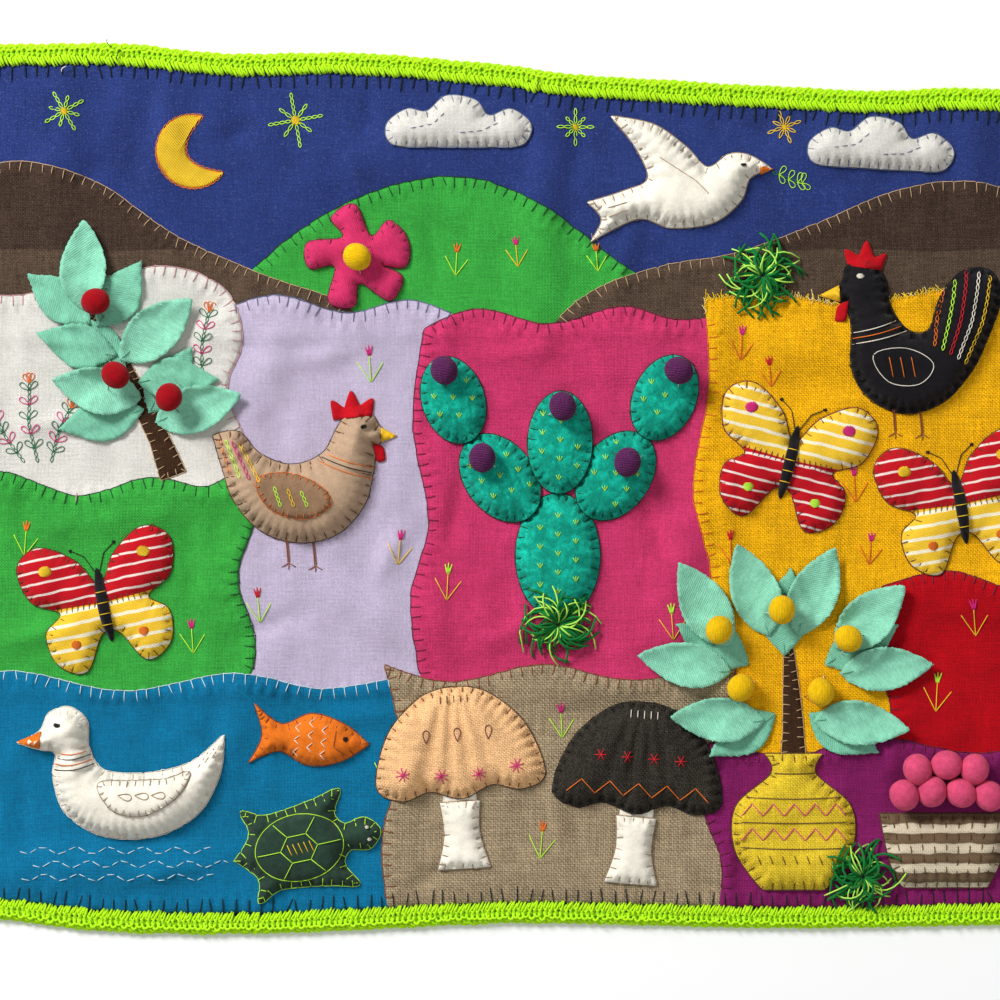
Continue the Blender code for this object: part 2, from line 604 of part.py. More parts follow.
def strand(body, root, way, reach, rise):
    """One strand of yarn: three-sided, out of the tuft's core, over and down to the cloth."""
    rings = []
    for share in (0.0, 0.45, 1.0):
        x = root.x + math.cos(way) * reach * share
        y = root.y + math.sin(way) * reach * share
        arch = rise * math.sin(math.pi * share)
        floor = pile_top(x, y, 0.3 * reach) + SEAM + STRAND_RADIUS
        z = max(root.z if share == 0 else floor, root.z * (1 - share) + floor * share + arch)
        radius = STRAND_RADIUS * (1.0 - 0.35 * share)
        side = Vector((-math.sin(way), math.cos(way), 0))
        ring = []
        for k in range(3):
            turn = math.pi / 2 + 2 * math.pi * k / 3
            offset = side * (radius * math.cos(turn)) + Vector((0, 0, radius * math.sin(turn)))
            ring.append(body.verts.new(Vector((x, y, z)) + offset))
        rings.append(ring)
    for first, second in zip(rings, rings[1:]):
        for k in range(3):
            n = (k + 1) % 3
            body.faces.new([first[k], first[n], second[n], second[k]])
    body.faces.new(rings[0])
    body.faces.new(rings[-1])


def tuft(piece):
    """A yarn tuft: strands that spread from a small sewn core, in a low ring and a steep one."""
    base = pile_top(piece.x, piece.y, TUFT_CORE_RADIUS) + SEAM
    core = bmesh.new()
    bmesh.ops.create_cone(
        core, cap_ends=True, segments=12, radius1=TUFT_CORE_RADIUS,
        radius2=TUFT_CORE_RADIUS * 0.75, depth=TUFT_CORE_TALL,
    )
    bmesh.ops.translate(core, vec=(piece.x, piece.y, base + TUFT_CORE_TALL / 2), verts=core.verts[:])
    strands = bmesh.new()
    low_count = TUFT_STRANDS * 2 // 3
    for k in range(TUFT_STRANDS):
        low = k < low_count
        share = k / low_count if low else (k - low_count + 0.4) / (TUFT_STRANDS - low_count)
        way = 2 * math.pi * share + math.radians(piece.turn)
        wobble = 0.82 + 0.18 * math.sin(5.3 * k + piece.turn)
        start = TUFT_CORE_RADIUS * (0.78 if low else 0.48)
        height = base + TUFT_CORE_TALL * (0.35 if low else 0.80)
        root = Vector((piece.x + start * math.cos(way), piece.y + start * math.sin(way), height))
        reach = (piece.reach if low else piece.reach * 0.62) * wobble
        strand(strands, root, way, reach, 0.0022 if low else 0.0050)
    bmesh.ops.triangulate(strands, faces=strands.faces[:])
    bmesh.ops.recalc_face_normals(strands, faces=strands.faces[:])
    joined(piece.name, plain_object("core", core), [plain_object("strands", strands)], "grass")


def main():
    for obj in list(bpy.data.objects):
        bpy.data.objects.remove(obj)
    ground_cloth()
    edgings()
    for piece in PUFFS:
        puff(piece)
    for pad in CACTUS_PADS:
        cactus_pad(pad)
    for piece in SPRAY_LEAVES + VINE_LEAVES:
        leaf(piece)
    for piece in BALLS:
        ball(piece)
    ball_heap()
    for piece in TUFTS:
        tuft(piece)


main()
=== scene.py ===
"""The looks of the arpillera: cloth patches, sewing, embroidery, crochet, stuffed pieces and weaves.

Metres. RELIEF is a height map of all that has been laid so far. Each piece takes its underside from it
and then raises it, so the order of the calls in main() is the order of sewing, as in the CAD.
"""

import math
from collections import defaultdict, namedtuple

import bmesh
import bpy
import numpy as np
from mathutils import Matrix, Vector
from mathutils.geometry import delaunay_2d_cdt


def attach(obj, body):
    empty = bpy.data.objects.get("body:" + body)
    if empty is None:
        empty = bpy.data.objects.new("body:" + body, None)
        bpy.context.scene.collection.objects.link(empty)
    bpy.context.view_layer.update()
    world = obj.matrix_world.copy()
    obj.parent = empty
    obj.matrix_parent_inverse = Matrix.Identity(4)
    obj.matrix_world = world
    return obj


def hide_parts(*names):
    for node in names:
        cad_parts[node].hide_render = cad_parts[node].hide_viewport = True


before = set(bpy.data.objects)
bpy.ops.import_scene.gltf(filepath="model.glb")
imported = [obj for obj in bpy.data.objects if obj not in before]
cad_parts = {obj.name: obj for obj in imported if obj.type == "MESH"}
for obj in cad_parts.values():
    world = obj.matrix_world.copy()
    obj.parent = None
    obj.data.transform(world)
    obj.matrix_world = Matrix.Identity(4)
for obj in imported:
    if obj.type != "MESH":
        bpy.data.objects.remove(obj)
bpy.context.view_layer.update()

# The cloth, as in the CAD
EDGING_WIDE = 0.009
SEAM = 0.0003
BALL_RADIUS = 0.0063
BALL_FLATTENING = 0.9

# Layers of cloth, threads and their spacing
BACKING_TOP = 0.0025
LAYER = 0.0004
THREAD = 0.00023
RAW_ABOVE = 0.079               # the yellow patch's top edge, left raw, lies above this
LEAF_THICK = 0.0008
LOOSE = 0.0001                  # a hair of room under a piece that lies loose
HEM_PITCH = 0.0056              # between a patch's hidden hem stitches
CROCHET_PITCH = 0.0047
CROCHET_HAIR_EVERY = 0.0003
BORDER_PITCH = 0.0055
BACKING_SUNK, PATCH_SUNK = 0.0009, 0.0007       # how far a cloth gives way under those sewn over it

# The camera, in the photograph's place
SHOWN_WIDTH = 0.45
CAMERA_HEIGHT = 1.8

# The height map's grid
CELL = 0.001
GRID_X, GRID_Y = -0.312, -0.214
COLUMNS, ROWS = 625, 429

# Lengths in the tables are in millimetres and angles in degrees. A star marks an outline's sharp corner.
SHARP = True
ANGLES = {"degrees", "turn"}


def shape(text):
    """The points of an outline or a line."""
    made = []
    for word in text.split():
        x, y = word.rstrip("*").split(",")
        made.append((float(x) / 1000, float(y) / 1000) + ((SHARP,) if "*" in word else ()))
    return made


def table(fields, text):
    """Rows with named values, one a line: words stay words, and lengths become metres."""
    kind = namedtuple("Row", fields)
    made = []
    for line in text.strip().splitlines():
        row = [word if word[0].isalpha() else float(word) / (1 if field in ANGLES else 1000)
               for field, word in zip(kind._fields, line.split())]
        made.append(kind(*row))
    return made


Edge = namedtuple("Edge", "along across")
TOP_EDGE = [Edge(*p) for p in shape("""
-291,188.5 -225,191 -173,191.5 -117,186.8 -70,187.5 5,181.8 25,178.5 112,173 175,170.2 209,171.5 291,168""")]
BOTTOM_EDGE = [Edge(*p) for p in shape("""
-291,-181.5 -225,-185 -180,-190 -110,-191.2 0,-186.5 45,-186.8 120,-188.7 180,-188 291,-185.5""")]
LEFT_EDGE = [Edge(*p) for p in shape("""
-185,-289 -60,-292 70,-288 185,-291""")]
RIGHT_EDGE = [Edge(*p) for p in shape("""
-185,290 -50,287 80,292 185,289""")]

FOLDS = table("x y degrees long reach high", """
19 120 88 180 15 3.6
-198 155 95 110 16 3
-150 160 84 90 14 2.6
150 152 4 140 16 2.8
214 150 92 80 15 3
-65 145 10 100 17 2.2
125 62 2 230 17 3.4
-165 -10 6 160 16 2.8
215 -48 178 150 18 3.6
-40 -60 165 150 18 2.6
85 -25 75 110 16 2.4
-185 -170 3 200 15 3
10 -172 176 150 15 2.8
170 -168 4 130 16 3.2
-245 60 98 160 18 3
262 70 84 170 18 3.2
-115 -100 70 90 16 2.2
-105 55 60 90 16 2.2""")

# Smaller creases in the cloth: troughs where high is below zero
CREASES = table("x y degrees long reach high", """
-157 169 92 46 7 -1.1
-201 168 88 42 6.5 -1
-118 160 26 36 7 -0.9
-185 141 47 26 6 -0.8
-164 147 108 22 5 -0.7
-60 168 84 40 7 -0.9
12 158 95 52 6 -1.2
34 150 82 46 6.5 -1
120 158 100 30 7 -0.9
232 152 88 36 6.5 -1
-236 160 96 40 7 0.9
-30 108 100 50 7 -1
58 108 78 40 7 1
-78 60 12 60 8 1.1
-60 20 100 50 7 -1
-50 -30 60 46 7 1
-105 -62 25 50 7.5 -1
12 62 8 60 7 1.2
70 -20 112 60 8 -1.1
10 -62 20 60 8 1.1
-20 -10 80 60 7 -0.9
112 68 100 50 7 -1.2
150 36 14 70 8 1.1
150 -40 70 50 8 -1.1
100 0 95 60 7 1
230 20 30 60 8 -1.1
240 -75 12 60 7 1.1
195 -80 110 40 7 -0.9
45 -100 6 70 8 -1
26 -145 96 60 7 1.1
-34 -176 30 40 7 -1
84 -178 100 30 6 0.9
110 -166 78 40 7 -1
220 -138 10 50 7 1
-60 -102 8 50 7 1
-130 -112 80 36 7 -1
-205 -112 20 50 7.5 1.1
-215 -150 96 50 7 -1
-150 -172 12 60 7 1
-140 -30 100 50 7 -1
-210 -66 16 60 8 1.2
-215 -10 80 40 7 -1
-200 30 8 60 7 1
-138 76 70 40 6.5 -1
-215 66 104 40 7 0.9
-262 20 95 60 8 1.1
-262 -80 88 60 8 -1.1
264 0 92 60 8 -1.1
262 -120 86 50 8 1""")

SHAPES = {}
for block in """
hen -41,20* -30,22 -20,12 -6,7 8,12 15,24 21,32 30,30 34,24 41,20* 33,16 31,4 27,-11 15,-24 -2,-28
-19,-23 -31,-10 -37,6

duck -47,18* -37,23 -33,31 -24,34 -16,28 -15,16 -9,6 6,4 22,6 34,11 46,22* 44,4 34,-14 15,-24 -8,-24
-25,-14 -31,2 -30,13 -37,15

dove -43,-2* -26,2 -15,7 -20,22 -30,36* -11,31 3,20 12,10 22,15 31,14 41,7* 31,4 26,-6 13,-15 -6,-16
-21,-11 -43,-20* -37,-10

rooster -36,25* -27,30 -23,40 -14,41 -7,33 -4,19 4,9 13,10 18,24 28,36 41,36 45,24 40,8 32,-9 19,-23 2,-28
-14,-21 -22,-7 -22,10 -25,21

fish 27,1* 15,9 0,12 -13,6 -26,14* -21,0 -26,-13* -13,-6 0,-11 15,-8

wings 0,9 9,22 24,31 35,24 32,8 20,0 28,-8 26,-22 14,-28 4,-13 -4,-13 -14,-28 -26,-22 -28,-8 -20,0 -32,8
-35,24 -24,31 -9,22

stem -9,15* 9,15* 8,0 12,-15* -12,-15* -8,0

cap -38,-16 -31,7 -16,22 -4,26* 4,26* 16,22 31,7 38,-16 27,-22 14,-19 0,-24 -14,-20 -27,-23

jar -13,31* 13,31* 10,22 26,7 26,-13 14,-30* -14,-30* -26,-13 -26,7 -10,22

basket -29,16* 29,16* 25,-5 19,-17* -19,-17* -25,-5

cloud -30,-9 -33,0 -24,7 -15,6 -6,13 7,11 13,4 23,7 32,0 28,-9 12,-10 -10,-10

turtle 37,0 31,7 22,6 18,12 23,22 12,20 0,18 -13,17 -23,21 -21,10 -30,0* -21,-10 -23,-21 -13,-17 0,-18
12,-20 23,-22 18,-12 22,-6 31,-7

flower 24,0 19,11 9,7 7,23 -5,21 -3,11 -19,14 -22,3 -11,0 -19,-14 -9,-20 -3,-11 7,-23 16,-15 9,-7 19,-11
""".strip().split("\n\n"):
    name, outline = block.split(maxsplit=1)
    SHAPES[name] = shape(outline)

PUFFS = {row.name: row._replace(outline=SHAPES[row.outline])
         for row in table("name colour outline x y degrees high soft", """
cloud_left cream cloud -18 164 0 5 8
cloud_right cream cloud 172 154 -3 5 8
dove cream dove 82 134 4 8.5 11
rooster black rooster 180 62 0 9 13
hen taupe hen -88 4 0 10 14
duck cream duck -170 -132 0 10 14
fish taupe fish -86 -113 -6 6 8
butterfly_left red_stripe wings -178 -52 12 5.5 9
butterfly_middle yellow_stripe wings 130 12 -14 5.5 9
butterfly_right red_stripe wings 207 -8 10 5.5 9
mushroom_stem_peach cream stem -17 -155.5 4 5 7
mushroom_cap_peach peach cap -19 -115 5 7.5 12
mushroom_stem_grey cream stem 60 -162.5 -5 5 7
mushroom_cap_grey charcoal cap 63 -122 -5 7.5 12
jar mustard jar 132 -150 0 5.5 9
basket straw basket 200 -162 0 5 7
turtle dark_green turtle -90 -161 12 7 12
flower pink flower -64 104 20 4.5 6
""")}
CACTUS_PADS = table("name x y degrees long wide high", """
cactus_pad_a 26 -30 90 56 38 7.5
cactus_pad_b 0 5 128 44 31 6.5
cactus_pad_c 52 6 54 44 31 6.5
cactus_pad_d -21 40 108 40 28 6
cactus_pad_e 27 21 88 46 29 6.5
cactus_pad_f 74 41 66 40 28 6""")
LEAVES = table("name x y degrees long wide", """
spray_leaf_a 119 -104 180 43 20
spray_leaf_b 141 -104 0 43 20
spray_leaf_c 104 -82 172 43 20
spray_leaf_d 104 -70 128 44 22
spray_leaf_e 121 -66 107 44 22
spray_leaf_f 134 -66 73 43 22
spray_leaf_g 151 -72 44 42 22
spray_leaf_h 153 -83 8 42 20
vine_leaf_a -155 30 18 41 21
vine_leaf_b -161 41 172 41 21
vine_leaf_c -171 58 38 43 22
vine_leaf_d -186 80 96 41 21""")
# Flat leaves sewn under the others
UNDER_LEAVES = table("name x y degrees long wide", """
under_leaf_a 124 -101 212 36 19
under_leaf_b 139 -101 -34 36 19
under_leaf_c 112 -79 150 38 21
under_leaf_d 128 -75 91 40 22
under_leaf_e 146 -79 26 38 21
under_leaf_f -158 34 60 36 20
under_leaf_g -168 52 140 38 21
under_leaf_h -181 73 52 36 20
under_leaf_i -184 74 138 37 20
under_leaf_j -160 36 192 40 21
under_leaf_k -172 60 167 38 20
under_leaf_l -163 48 6 37 20""")
BALLS = table("name colour x y", """
cactus_ball_a purple -25 53
cactus_ball_b purple 28 37
cactus_ball_c purple 80 53
cactus_ball_d purple -8 14
cactus_ball_e purple 57 12
spray_ball_a yellow 108 -89
spray_ball_b yellow 144 -91
spray_ball_c yellow 98 -63
spray_ball_d yellow 126 -54
spray_ball_e yellow 156 -67
vine_ball_a red -148 41
vine_ball_b red -172 51
vine_ball_c red -181 84
flower_ball yellow -64 104""")
TUFTS = table("name x y reach", """
tuft_cactus 26 -61 21
tuft_ridge 118 96 20
tuft_jar 163 -174 19""")
HEAP = shape("""
-19,25 -6.5,26.5 6.5,26 19,24.5 -13,36.5 0,38.5 12.5,36.5""")

# Patches of the ground, in the order in which they are sewn. Points past the cloth's edge end there.
Patch = namedtuple("Patch", "name paint thread outline")
PATCHES = []
for block in """
hill_middle green_cotton forest
-135,66* -118,92 -86,119 -50,136 -14,140 20,127 52,103 78,86 98,66*

hill_left brown_wool tan
-320,112* -262,132 -224,147 -184,139 -146,114 -106,96 -70,83 -55,64* -320,64*

hill_right brown_wool tan
18,68* 40,88 72,100 106,106 142,119 178,134 212,138 250,127 285,110 320,102* 320,68*

lavender lavender_cotton slate
-136,76* -102,87 -70,79 -42,85 -20,78* -24,-94* -136,-94*

pink pink_cotton wine
-34,72* -10,81 22,74 55,82 80,76 106,79* 106,-94* -34,-94* -40,-50 -32,-15 -39,30

yellow yellow_linen orange
92,85* 122,88 160,83 205,90 250,85 320,89* 320,-124* 94,-124* 88,-80 95,-40 87,0 94,45

white white_cotton rose
-320,92* -262,97 -222,87 -184,94 -150,100 -124,90 -116,68 -123,44 -115,20 -121,-6* -320,-6*

green green_cotton forest
-320,10* -265,1 -226,8 -190,-3 -158,5 -132,1 -113,10 -110,-12 -118,-40 -110,-70 -116,-96* -320,-96*

red red_cotton wine
172,-44* 202,-37 236,-46 270,-39 320,-45* 320,-128* 170,-128* 176,-100 168,-70

turquoise turquoise_cotton pale
-320,-83* -262,-90 -220,-82 -170,-91 -120,-83 -80,-90 -38,-83* -36,-220* -320,-220*

linen linen rust
-52,-79* -22,-87 20,-79 58,-86 106,-80* 106,-220* -46,-220* -53,-160 -44,-120

purple purple_cotton wine
94,-114* 130,-120 170,-112 215,-119 262,-112 320,-118* 320,-220* 94,-220* 100,-172 92,-144
""".strip().split("\n\n"):
    name, paint, thread, outline = block.split(maxsplit=3)
    PATCHES.append(Patch("patch_" + name, paint, thread, shape(outline)))

# Loose ends of yarn by the crochet
LOOSE_ENDS = table("x y degrees long colour", """
-172 192.5 74 5.2 dark
-174.5 198.5 118 4.4 dark
17 180 70 4 dark
-197 187.5 50 3.4 cream""")
FERNS = table("x y turn tall", """
-208 12 96 36
-214 12 120 30
-202 12 70 26
-134 50 84 30""")
TULIPS = table("x y tall turn stem_colour bloom", """
-58 48 17 4 lime magenta
-46 -34 16 -6 gold magenta
-108 -60 16 5 lime scarlet
108 58 16 -4 orange magenta
122 46 14 6 orange scarlet
160 -6 17 3 orange magenta
166 -34 15 -5 orange magenta
104 -34 16 2 orange scarlet
196 -100 18 -4 gold lime
214 -66 17 6 gold magenta
28 -112 16 3 lime magenta
18 -166 17 -5 lime orange
-52 -132 15 -4 lime orange
78 -68 17 4 gold lime
-24 -50 17 -3 gold lime
-138 -74 16 4 lime magenta
-214 -30 16 -4 lime orange
44 98 13 5 lime orange
-20 96 15 -3 lime orange
8 100 14 5 gold magenta
245 40 17 -4 orange magenta
262 -10 16 5 orange scarlet
-262 40 16 4 leaf_green magenta
-256 -60 16 -5 lime magenta
-258 -146 16 3 lime orange
262 -160 16 -4 gold lime
240 -172 15 5 lime magenta""")

# Threads, in linear colour
THREADS = {
    "tan": (0.5, 0.33, 0.18), "forest": (0.01, 0.045, 0.02), "slate": (0.12, 0.15, 0.26),
    "wine": (0.16, 0.012, 0.04), "orange": (0.75, 0.16, 0.015), "rose": (0.62, 0.33, 0.34),
    "pale": (0.55, 0.72, 0.78), "rust": (0.26, 0.075, 0.03), "dark": (0.006, 0.012, 0.01),
    "black": (0.008, 0.007, 0.007), "lime": (0.48, 0.86, 0.05), "magenta": (0.62, 0.015, 0.19),
    "cream": (0.78, 0.72, 0.6), "brown": (0.11, 0.05, 0.022), "gold": (0.85, 0.55, 0.02),
    "leaf_green": (0.02, 0.16, 0.06), "scarlet": (0.55, 0.01, 0.02),
    "sand": (0.36, 0.24, 0.15), "sea": (0.16, 0.46, 0.33),
    "straw": (0.86, 0.7, 0.36),
}

# Heights and outlines


def bump(share):
    """A smooth hump, 1 in its middle and 0 from share 1 outward."""
    return np.where(np.abs(share) < 1, (1 - share**2) ** 2, 0.0)


def heading(degrees):
    """A direction's cosine and sine."""
    return math.cos(math.radians(degrees)), math.sin(math.radians(degrees))


def local(row, x, y):
    """Places on the cloth as seen from a row's own middle, along its own axes."""
    c, s = heading(row.degrees)
    dx, dy = x - row.x, y - row.y
    return dx * c + dy * s, dy * c - dx * s


def lift(x, y, folds=FOLDS):
    """How far the folds raise the cloth off the surface that it lies on."""
    total = np.zeros(np.shape(x))
    for fold in folds:
        along, across = local(fold, x, y)
        total += fold.high * bump(along / (fold.long / 2)) * bump(across / fold.reach)
    return total


def hermite(t, start, leave, end, arrive):
    """A curve's value at share t, from its ends' values and slopes."""
    return (start * (2 * t**3 - 3 * t**2 + 1) + leave * (t**3 - 2 * t**2 + t)
            + end * (3 * t**2 - 2 * t**3) + arrive * (t**3 - t**2))


def edge_at(table, along):
    """The cloth's edge between the points of its table, as a smooth curve."""
    table = [table[0]] + table + [table[-1]]
    k = 1
    while k < len(table) - 3 and along > table[k + 1].along:
        k += 1
    before, start, end, after = table[k - 1 : k + 3]
    span = end.along - start.along
    leave = (end.across - before.across) / (end.along - before.along) * span
    arrive = (after.across - start.across) / (after.along - start.along) * span
    return hermite(min(1.0, max(0.0, (along - start.along) / span)), start.across, leave, end.across, arrive)


def cloth_point(s, t):
    """The place on the cloth at shares s across and t up."""
    x_plain = TOP_EDGE[0].along + s * (TOP_EDGE[-1].along - TOP_EDGE[0].along)
    y_plain = LEFT_EDGE[0].along + t * (LEFT_EDGE[-1].along - LEFT_EDGE[0].along)
    left, right = edge_at(LEFT_EDGE, y_plain), edge_at(RIGHT_EDGE, y_plain)
    low, high = edge_at(BOTTOM_EDGE, x_plain), edge_at(TOP_EDGE, x_plain)
    return left + s * (right - left), low + t * (high - low)


def cloth_outline(steps_x=220, steps_y=150):
    """The cloth's own outline, anticlockwise."""
    low = [cloth_point(k / steps_x, 0) for k in range(steps_x)]
    right = [cloth_point(1, k / steps_y) for k in range(steps_y)]
    high = [cloth_point(1 - k / steps_x, 1) for k in range(steps_x)]
    left = [cloth_point(0, 1 - k / steps_y) for k in range(steps_y)]
    return np.array(low + right + high + left)


def smooth(points, steps=8):
    """A closed curve through an outline's points, straight into and out of its sharp corners."""
    flat = np.array([p[:2] for p in points])
    slope = (np.roll(flat, -1, axis=0) - np.roll(flat, 1, axis=0)) / 2
    slope[[len(p) == 3 for p in points]] = 0
    ends = [v[:, None] for v in (flat, slope, np.roll(flat, -1, axis=0), np.roll(slope, -1, axis=0))]
    return hermite((np.arange(steps) / steps)[:, None], *ends).reshape(-1, 2)


def placed(outline, x, y, degrees=0.0):
    """An outline turned and moved to its place on the cloth."""
    points = np.array([tuple(p)[:2] for p in outline], float)
    c, s = heading(degrees)
    return points @ np.array([[c, s], [-s, c]]) + (x, y)


def walked(line):
    """A line as an array, and how far along it each of its points lies."""
    line = np.array(line, float)
    return line, np.r_[0, np.cumsum(np.linalg.norm(np.diff(line, axis=0), axis=1))]


def between(places, gone, line):
    """The points at some distances along a line."""
    return np.c_[np.interp(places, gone, line[:, 0]), np.interp(places, gone, line[:, 1])]


def dense(line, count):
    """Points evenly along an open line."""
    line, gone = walked(line)
    return between(np.linspace(0, gone[-1], count), gone, line)


def ellipse(long, wide, count=48):
    turns = 2 * math.pi * np.arange(count) / count
    return np.c_[long / 2 * np.cos(turns), wide / 2 * np.sin(turns)]


def leaf_outline(long, wide, count=22, point=0.8):
    """A leaf from its stalk at the origin to its tip on +X, widest a little below its middle."""
    shares = np.arange(count + 1) / count
    half = wide / 2 * np.clip(np.sin(math.pi * shares**0.85), 0, 1) ** point
    low, high = np.c_[shares * long, -half], np.c_[shares * long, half]
    return np.vstack([low, high[-2:0:-1]])


def ribbon(line, widths, steps=6):
    """The outline of a strip along a line of points, with a width at each."""
    count = (len(line) - 1) * steps + 1
    at = np.linspace(0, len(line) - 1, count)
    line, widths = np.array(line, float), np.array(widths, float)
    index = np.arange(len(line))
    middle = np.c_[np.interp(at, index, line[:, 0]), np.interp(at, index, line[:, 1])]
    half = np.interp(at, index, widths)[:, None] / 2
    way = np.gradient(middle, axis=0)
    way /= np.linalg.norm(way, axis=1)[:, None]
    side = np.c_[-way[:, 1], way[:, 0]]
    return np.vstack([middle - side * half, (middle + side * half)[::-1]])


def resampled(outline, step):
    """Points along a closed line, about step apart."""
    ring, gone = walked(np.vstack([outline, outline[:1]]))
    return between(np.linspace(0, gone[-1], max(6, round(gone[-1] / step)), endpoint=False), gone, ring)


def polygon_area(outline):
    x, y = outline[:, 0], outline[:, 1]
    return float((x * np.roll(y, -1) - np.roll(x, -1) * y).sum() / 2)


def inside(outline, x, y):
    """Which places lie in an outline."""
    found = np.zeros(np.shape(x), bool)
    for (ax, ay), (bx, by) in zip(outline, np.roll(outline, -1, axis=0)):
        if ay != by:
            found ^= ((ay > y) != (by > y)) & (x < (bx - ax) * (y - ay) / (by - ay) + ax)
    return found


def rim(outline, x, y):
    """How far places are from an outline's line, and how far round it the nearest point is."""
    least, place, before = np.full(np.shape(x), 1.0), np.zeros(np.shape(x)), 0.0
    for (ax, ay), (bx, by) in zip(outline, np.roll(outline, -1, axis=0)):
        length = math.hypot(bx - ax, by - ay)
        if length < 1e-9:
            continue
        dx, dy = (bx - ax) / length, (by - ay) / length
        t = np.clip((x - ax) * dx + (y - ay) * dy, 0, length)
        away = np.hypot(x - ax - t * dx, y - ay - t * dy)
        near = away < least
        least = np.where(near, away, least)
        place = np.where(near, before + t, place)
        before += length
    return least, place


def ripple(x, y, seed, length, count=9):
    """Soft uneven waves about length long, from -1 to 1."""
    rng = np.random.default_rng(seed)
    total = 0.0
    for _ in range(count):
        way, phase = rng.uniform(0, 2 * math.pi, 2)
        wave = 2 * math.pi / (length * rng.uniform(0.6, 1.7))
        total = total + np.sin((x * math.cos(way) + y * math.sin(way)) * wave + phase)
    return total / count * 1.6


# The height map

MAP_X, MAP_Y = np.meshgrid(GRID_X + CELL * np.arange(COLUMNS), GRID_Y + CELL * np.arange(ROWS))
PINCHES = [fold._replace(reach=0.48 * fold.reach, long=0.8 * fold.long) for fold in CREASES]
WRINKLES = 1.5 * lift(MAP_X, MAP_Y, CREASES) + 0.8 * lift(MAP_X, MAP_Y, PINCHES)
WRINKLES += 0.00055 * ripple(MAP_X, MAP_Y * 0.5, 3, 0.016)
RELIEF = lift(MAP_X, MAP_Y) + np.maximum(BACKING_TOP + WRINKLES, 0.0004)
TOPMOST = np.zeros(RELIEF.shape, int)


def sample(field, x, y):
    """A grid's value between its points."""
    u = np.clip((np.asarray(x, float) - GRID_X) / CELL, 0, COLUMNS - 1.001)
    v = np.clip((np.asarray(y, float) - GRID_Y) / CELL, 0, ROWS - 1.001)
    i, j = u.astype(int), v.astype(int)
    fu, fv = u - i, v - j
    low = field[j, i] * (1 - fu) + field[j, i + 1] * fu
    high = field[j + 1, i] * (1 - fu) + field[j + 1, i + 1] * fu
    return low * (1 - fv) + high * fv


def surface(x, y):
    """The height of what lies at a place."""
    return sample(RELIEF, x, y)


def around(field, steps, pick):
    """Each grid value combined with its neighbours, steps times over."""
    for _ in range(steps):
        padded = np.pad(field, 1, mode="edge")
        moved = [padded[1 + a : padded.shape[0] - 1 + a, 1 + b : padded.shape[1] - 1 + b]
                 for a, b in ((0, 0), (1, 0), (-1, 0), (0, 1), (0, -1))]
        field = pick(moved)
    return field


def window(outline, margin):
    """The part of the grid round an outline, as two slices."""
    low, high = outline.min(axis=0) - margin, outline.max(axis=0) + margin
    i0, j0 = int((low[0] - GRID_X) / CELL), int((low[1] - GRID_Y) / CELL)
    i1, j1 = int((high[0] - GRID_X) / CELL) + 2, int((high[1] - GRID_Y) / CELL) + 2
    return slice(max(0, j0), min(ROWS, j1)), slice(max(0, i0), min(COLUMNS, i1))


def footing(outline, widen, soften):
    """The relief round an outline, widened and softened in mm, as a piece bridges what is under it."""
    part = window(outline, 0.001 * (widen + soften) + 0.004)
    field = RELIEF.copy()
    patch = around(RELIEF[part], widen, lambda m: np.maximum.reduce(m))
    field[part] = around(patch, soften, lambda m: sum(m) / 5)
    return field


def lay(outline, base, rise, add=0.0, highest=False):
    """Raises the relief inside an outline by what a piece rises over its base."""
    part = window(outline, 0.001)
    x, y = MAP_X[part], MAP_Y[part]
    hit = inside(outline, x, y)
    top = base[part] + rise(x, y) + add
    RELIEF[part] = np.where(hit, np.maximum(RELIEF[part], top) if highest else top, RELIEF[part])
    return part, hit


# Meshes


def show(name, mesh, paint, slot=None, replaces=None, smooth_faces=True):
    """An object for a finished mesh, riding on the body."""
    mesh.materials.append(PAINT[paint])
    if smooth_faces:
        mesh.shade_smooth()
    obj = bpy.data.objects.new(name, mesh)
    bpy.context.scene.collection.objects.link(obj)
    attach(obj, "root")
    if replaces:
        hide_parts(*replaces)
    return obj


def fill(outline, cell, margin=0.0):
    """Points and triangles that fill an outline, one cell apart within a margin and two cells beyond it."""
    low, high = outline.min(axis=0), outline.max(axis=0)
    rows = np.arange(low[1] + cell / 2, high[1], cell * 0.866)
    made = []
    for k, y in enumerate(rows):
        xs = np.arange(low[0] + cell * (0.5 if k % 2 else 1.0), high[0], cell)
        coarse = (np.arange(len(xs)) + k // 2) % 2 == 0 if k % 2 == 0 else np.zeros(len(xs), bool)
        made.append(np.c_[xs, np.full(len(xs), y), coarse])
    grid = np.vstack(made)
    grid = grid[inside(outline, grid[:, 0], grid[:, 1])]
    away = rim(outline, grid[:, 0], grid[:, 1])[0]
    keep = away > 0.5 * cell
    if margin:
        keep &= (away < margin) | (grid[:, 2] > 0)
    grid = grid[keep][:, :2]
    points = [Vector(p) for p in np.vstack([outline, grid]).tolist()]
    edges = [(k, (k + 1) % len(outline)) for k in range(len(outline))]
    flat, _, faces, _, _, _ = delaunay_2d_cdt(points, edges, [], 0, 1e-7, True)
    flat, faces = np.array([tuple(p) for p in flat]), np.array([tuple(f) for f in faces])
    middle = flat[faces].mean(axis=1)
    faces = faces[inside(outline, middle[:, 0], middle[:, 1])]
    a, b, c = (flat[faces[:, k]] for k in range(3))
    turn = (b[:, 0] - a[:, 0]) * (c[:, 1] - a[:, 1]) - (b[:, 1] - a[:, 1]) * (c[:, 0] - a[:, 0])
    faces[turn < 0] = faces[turn < 0][:, ::-1]
    return flat, faces


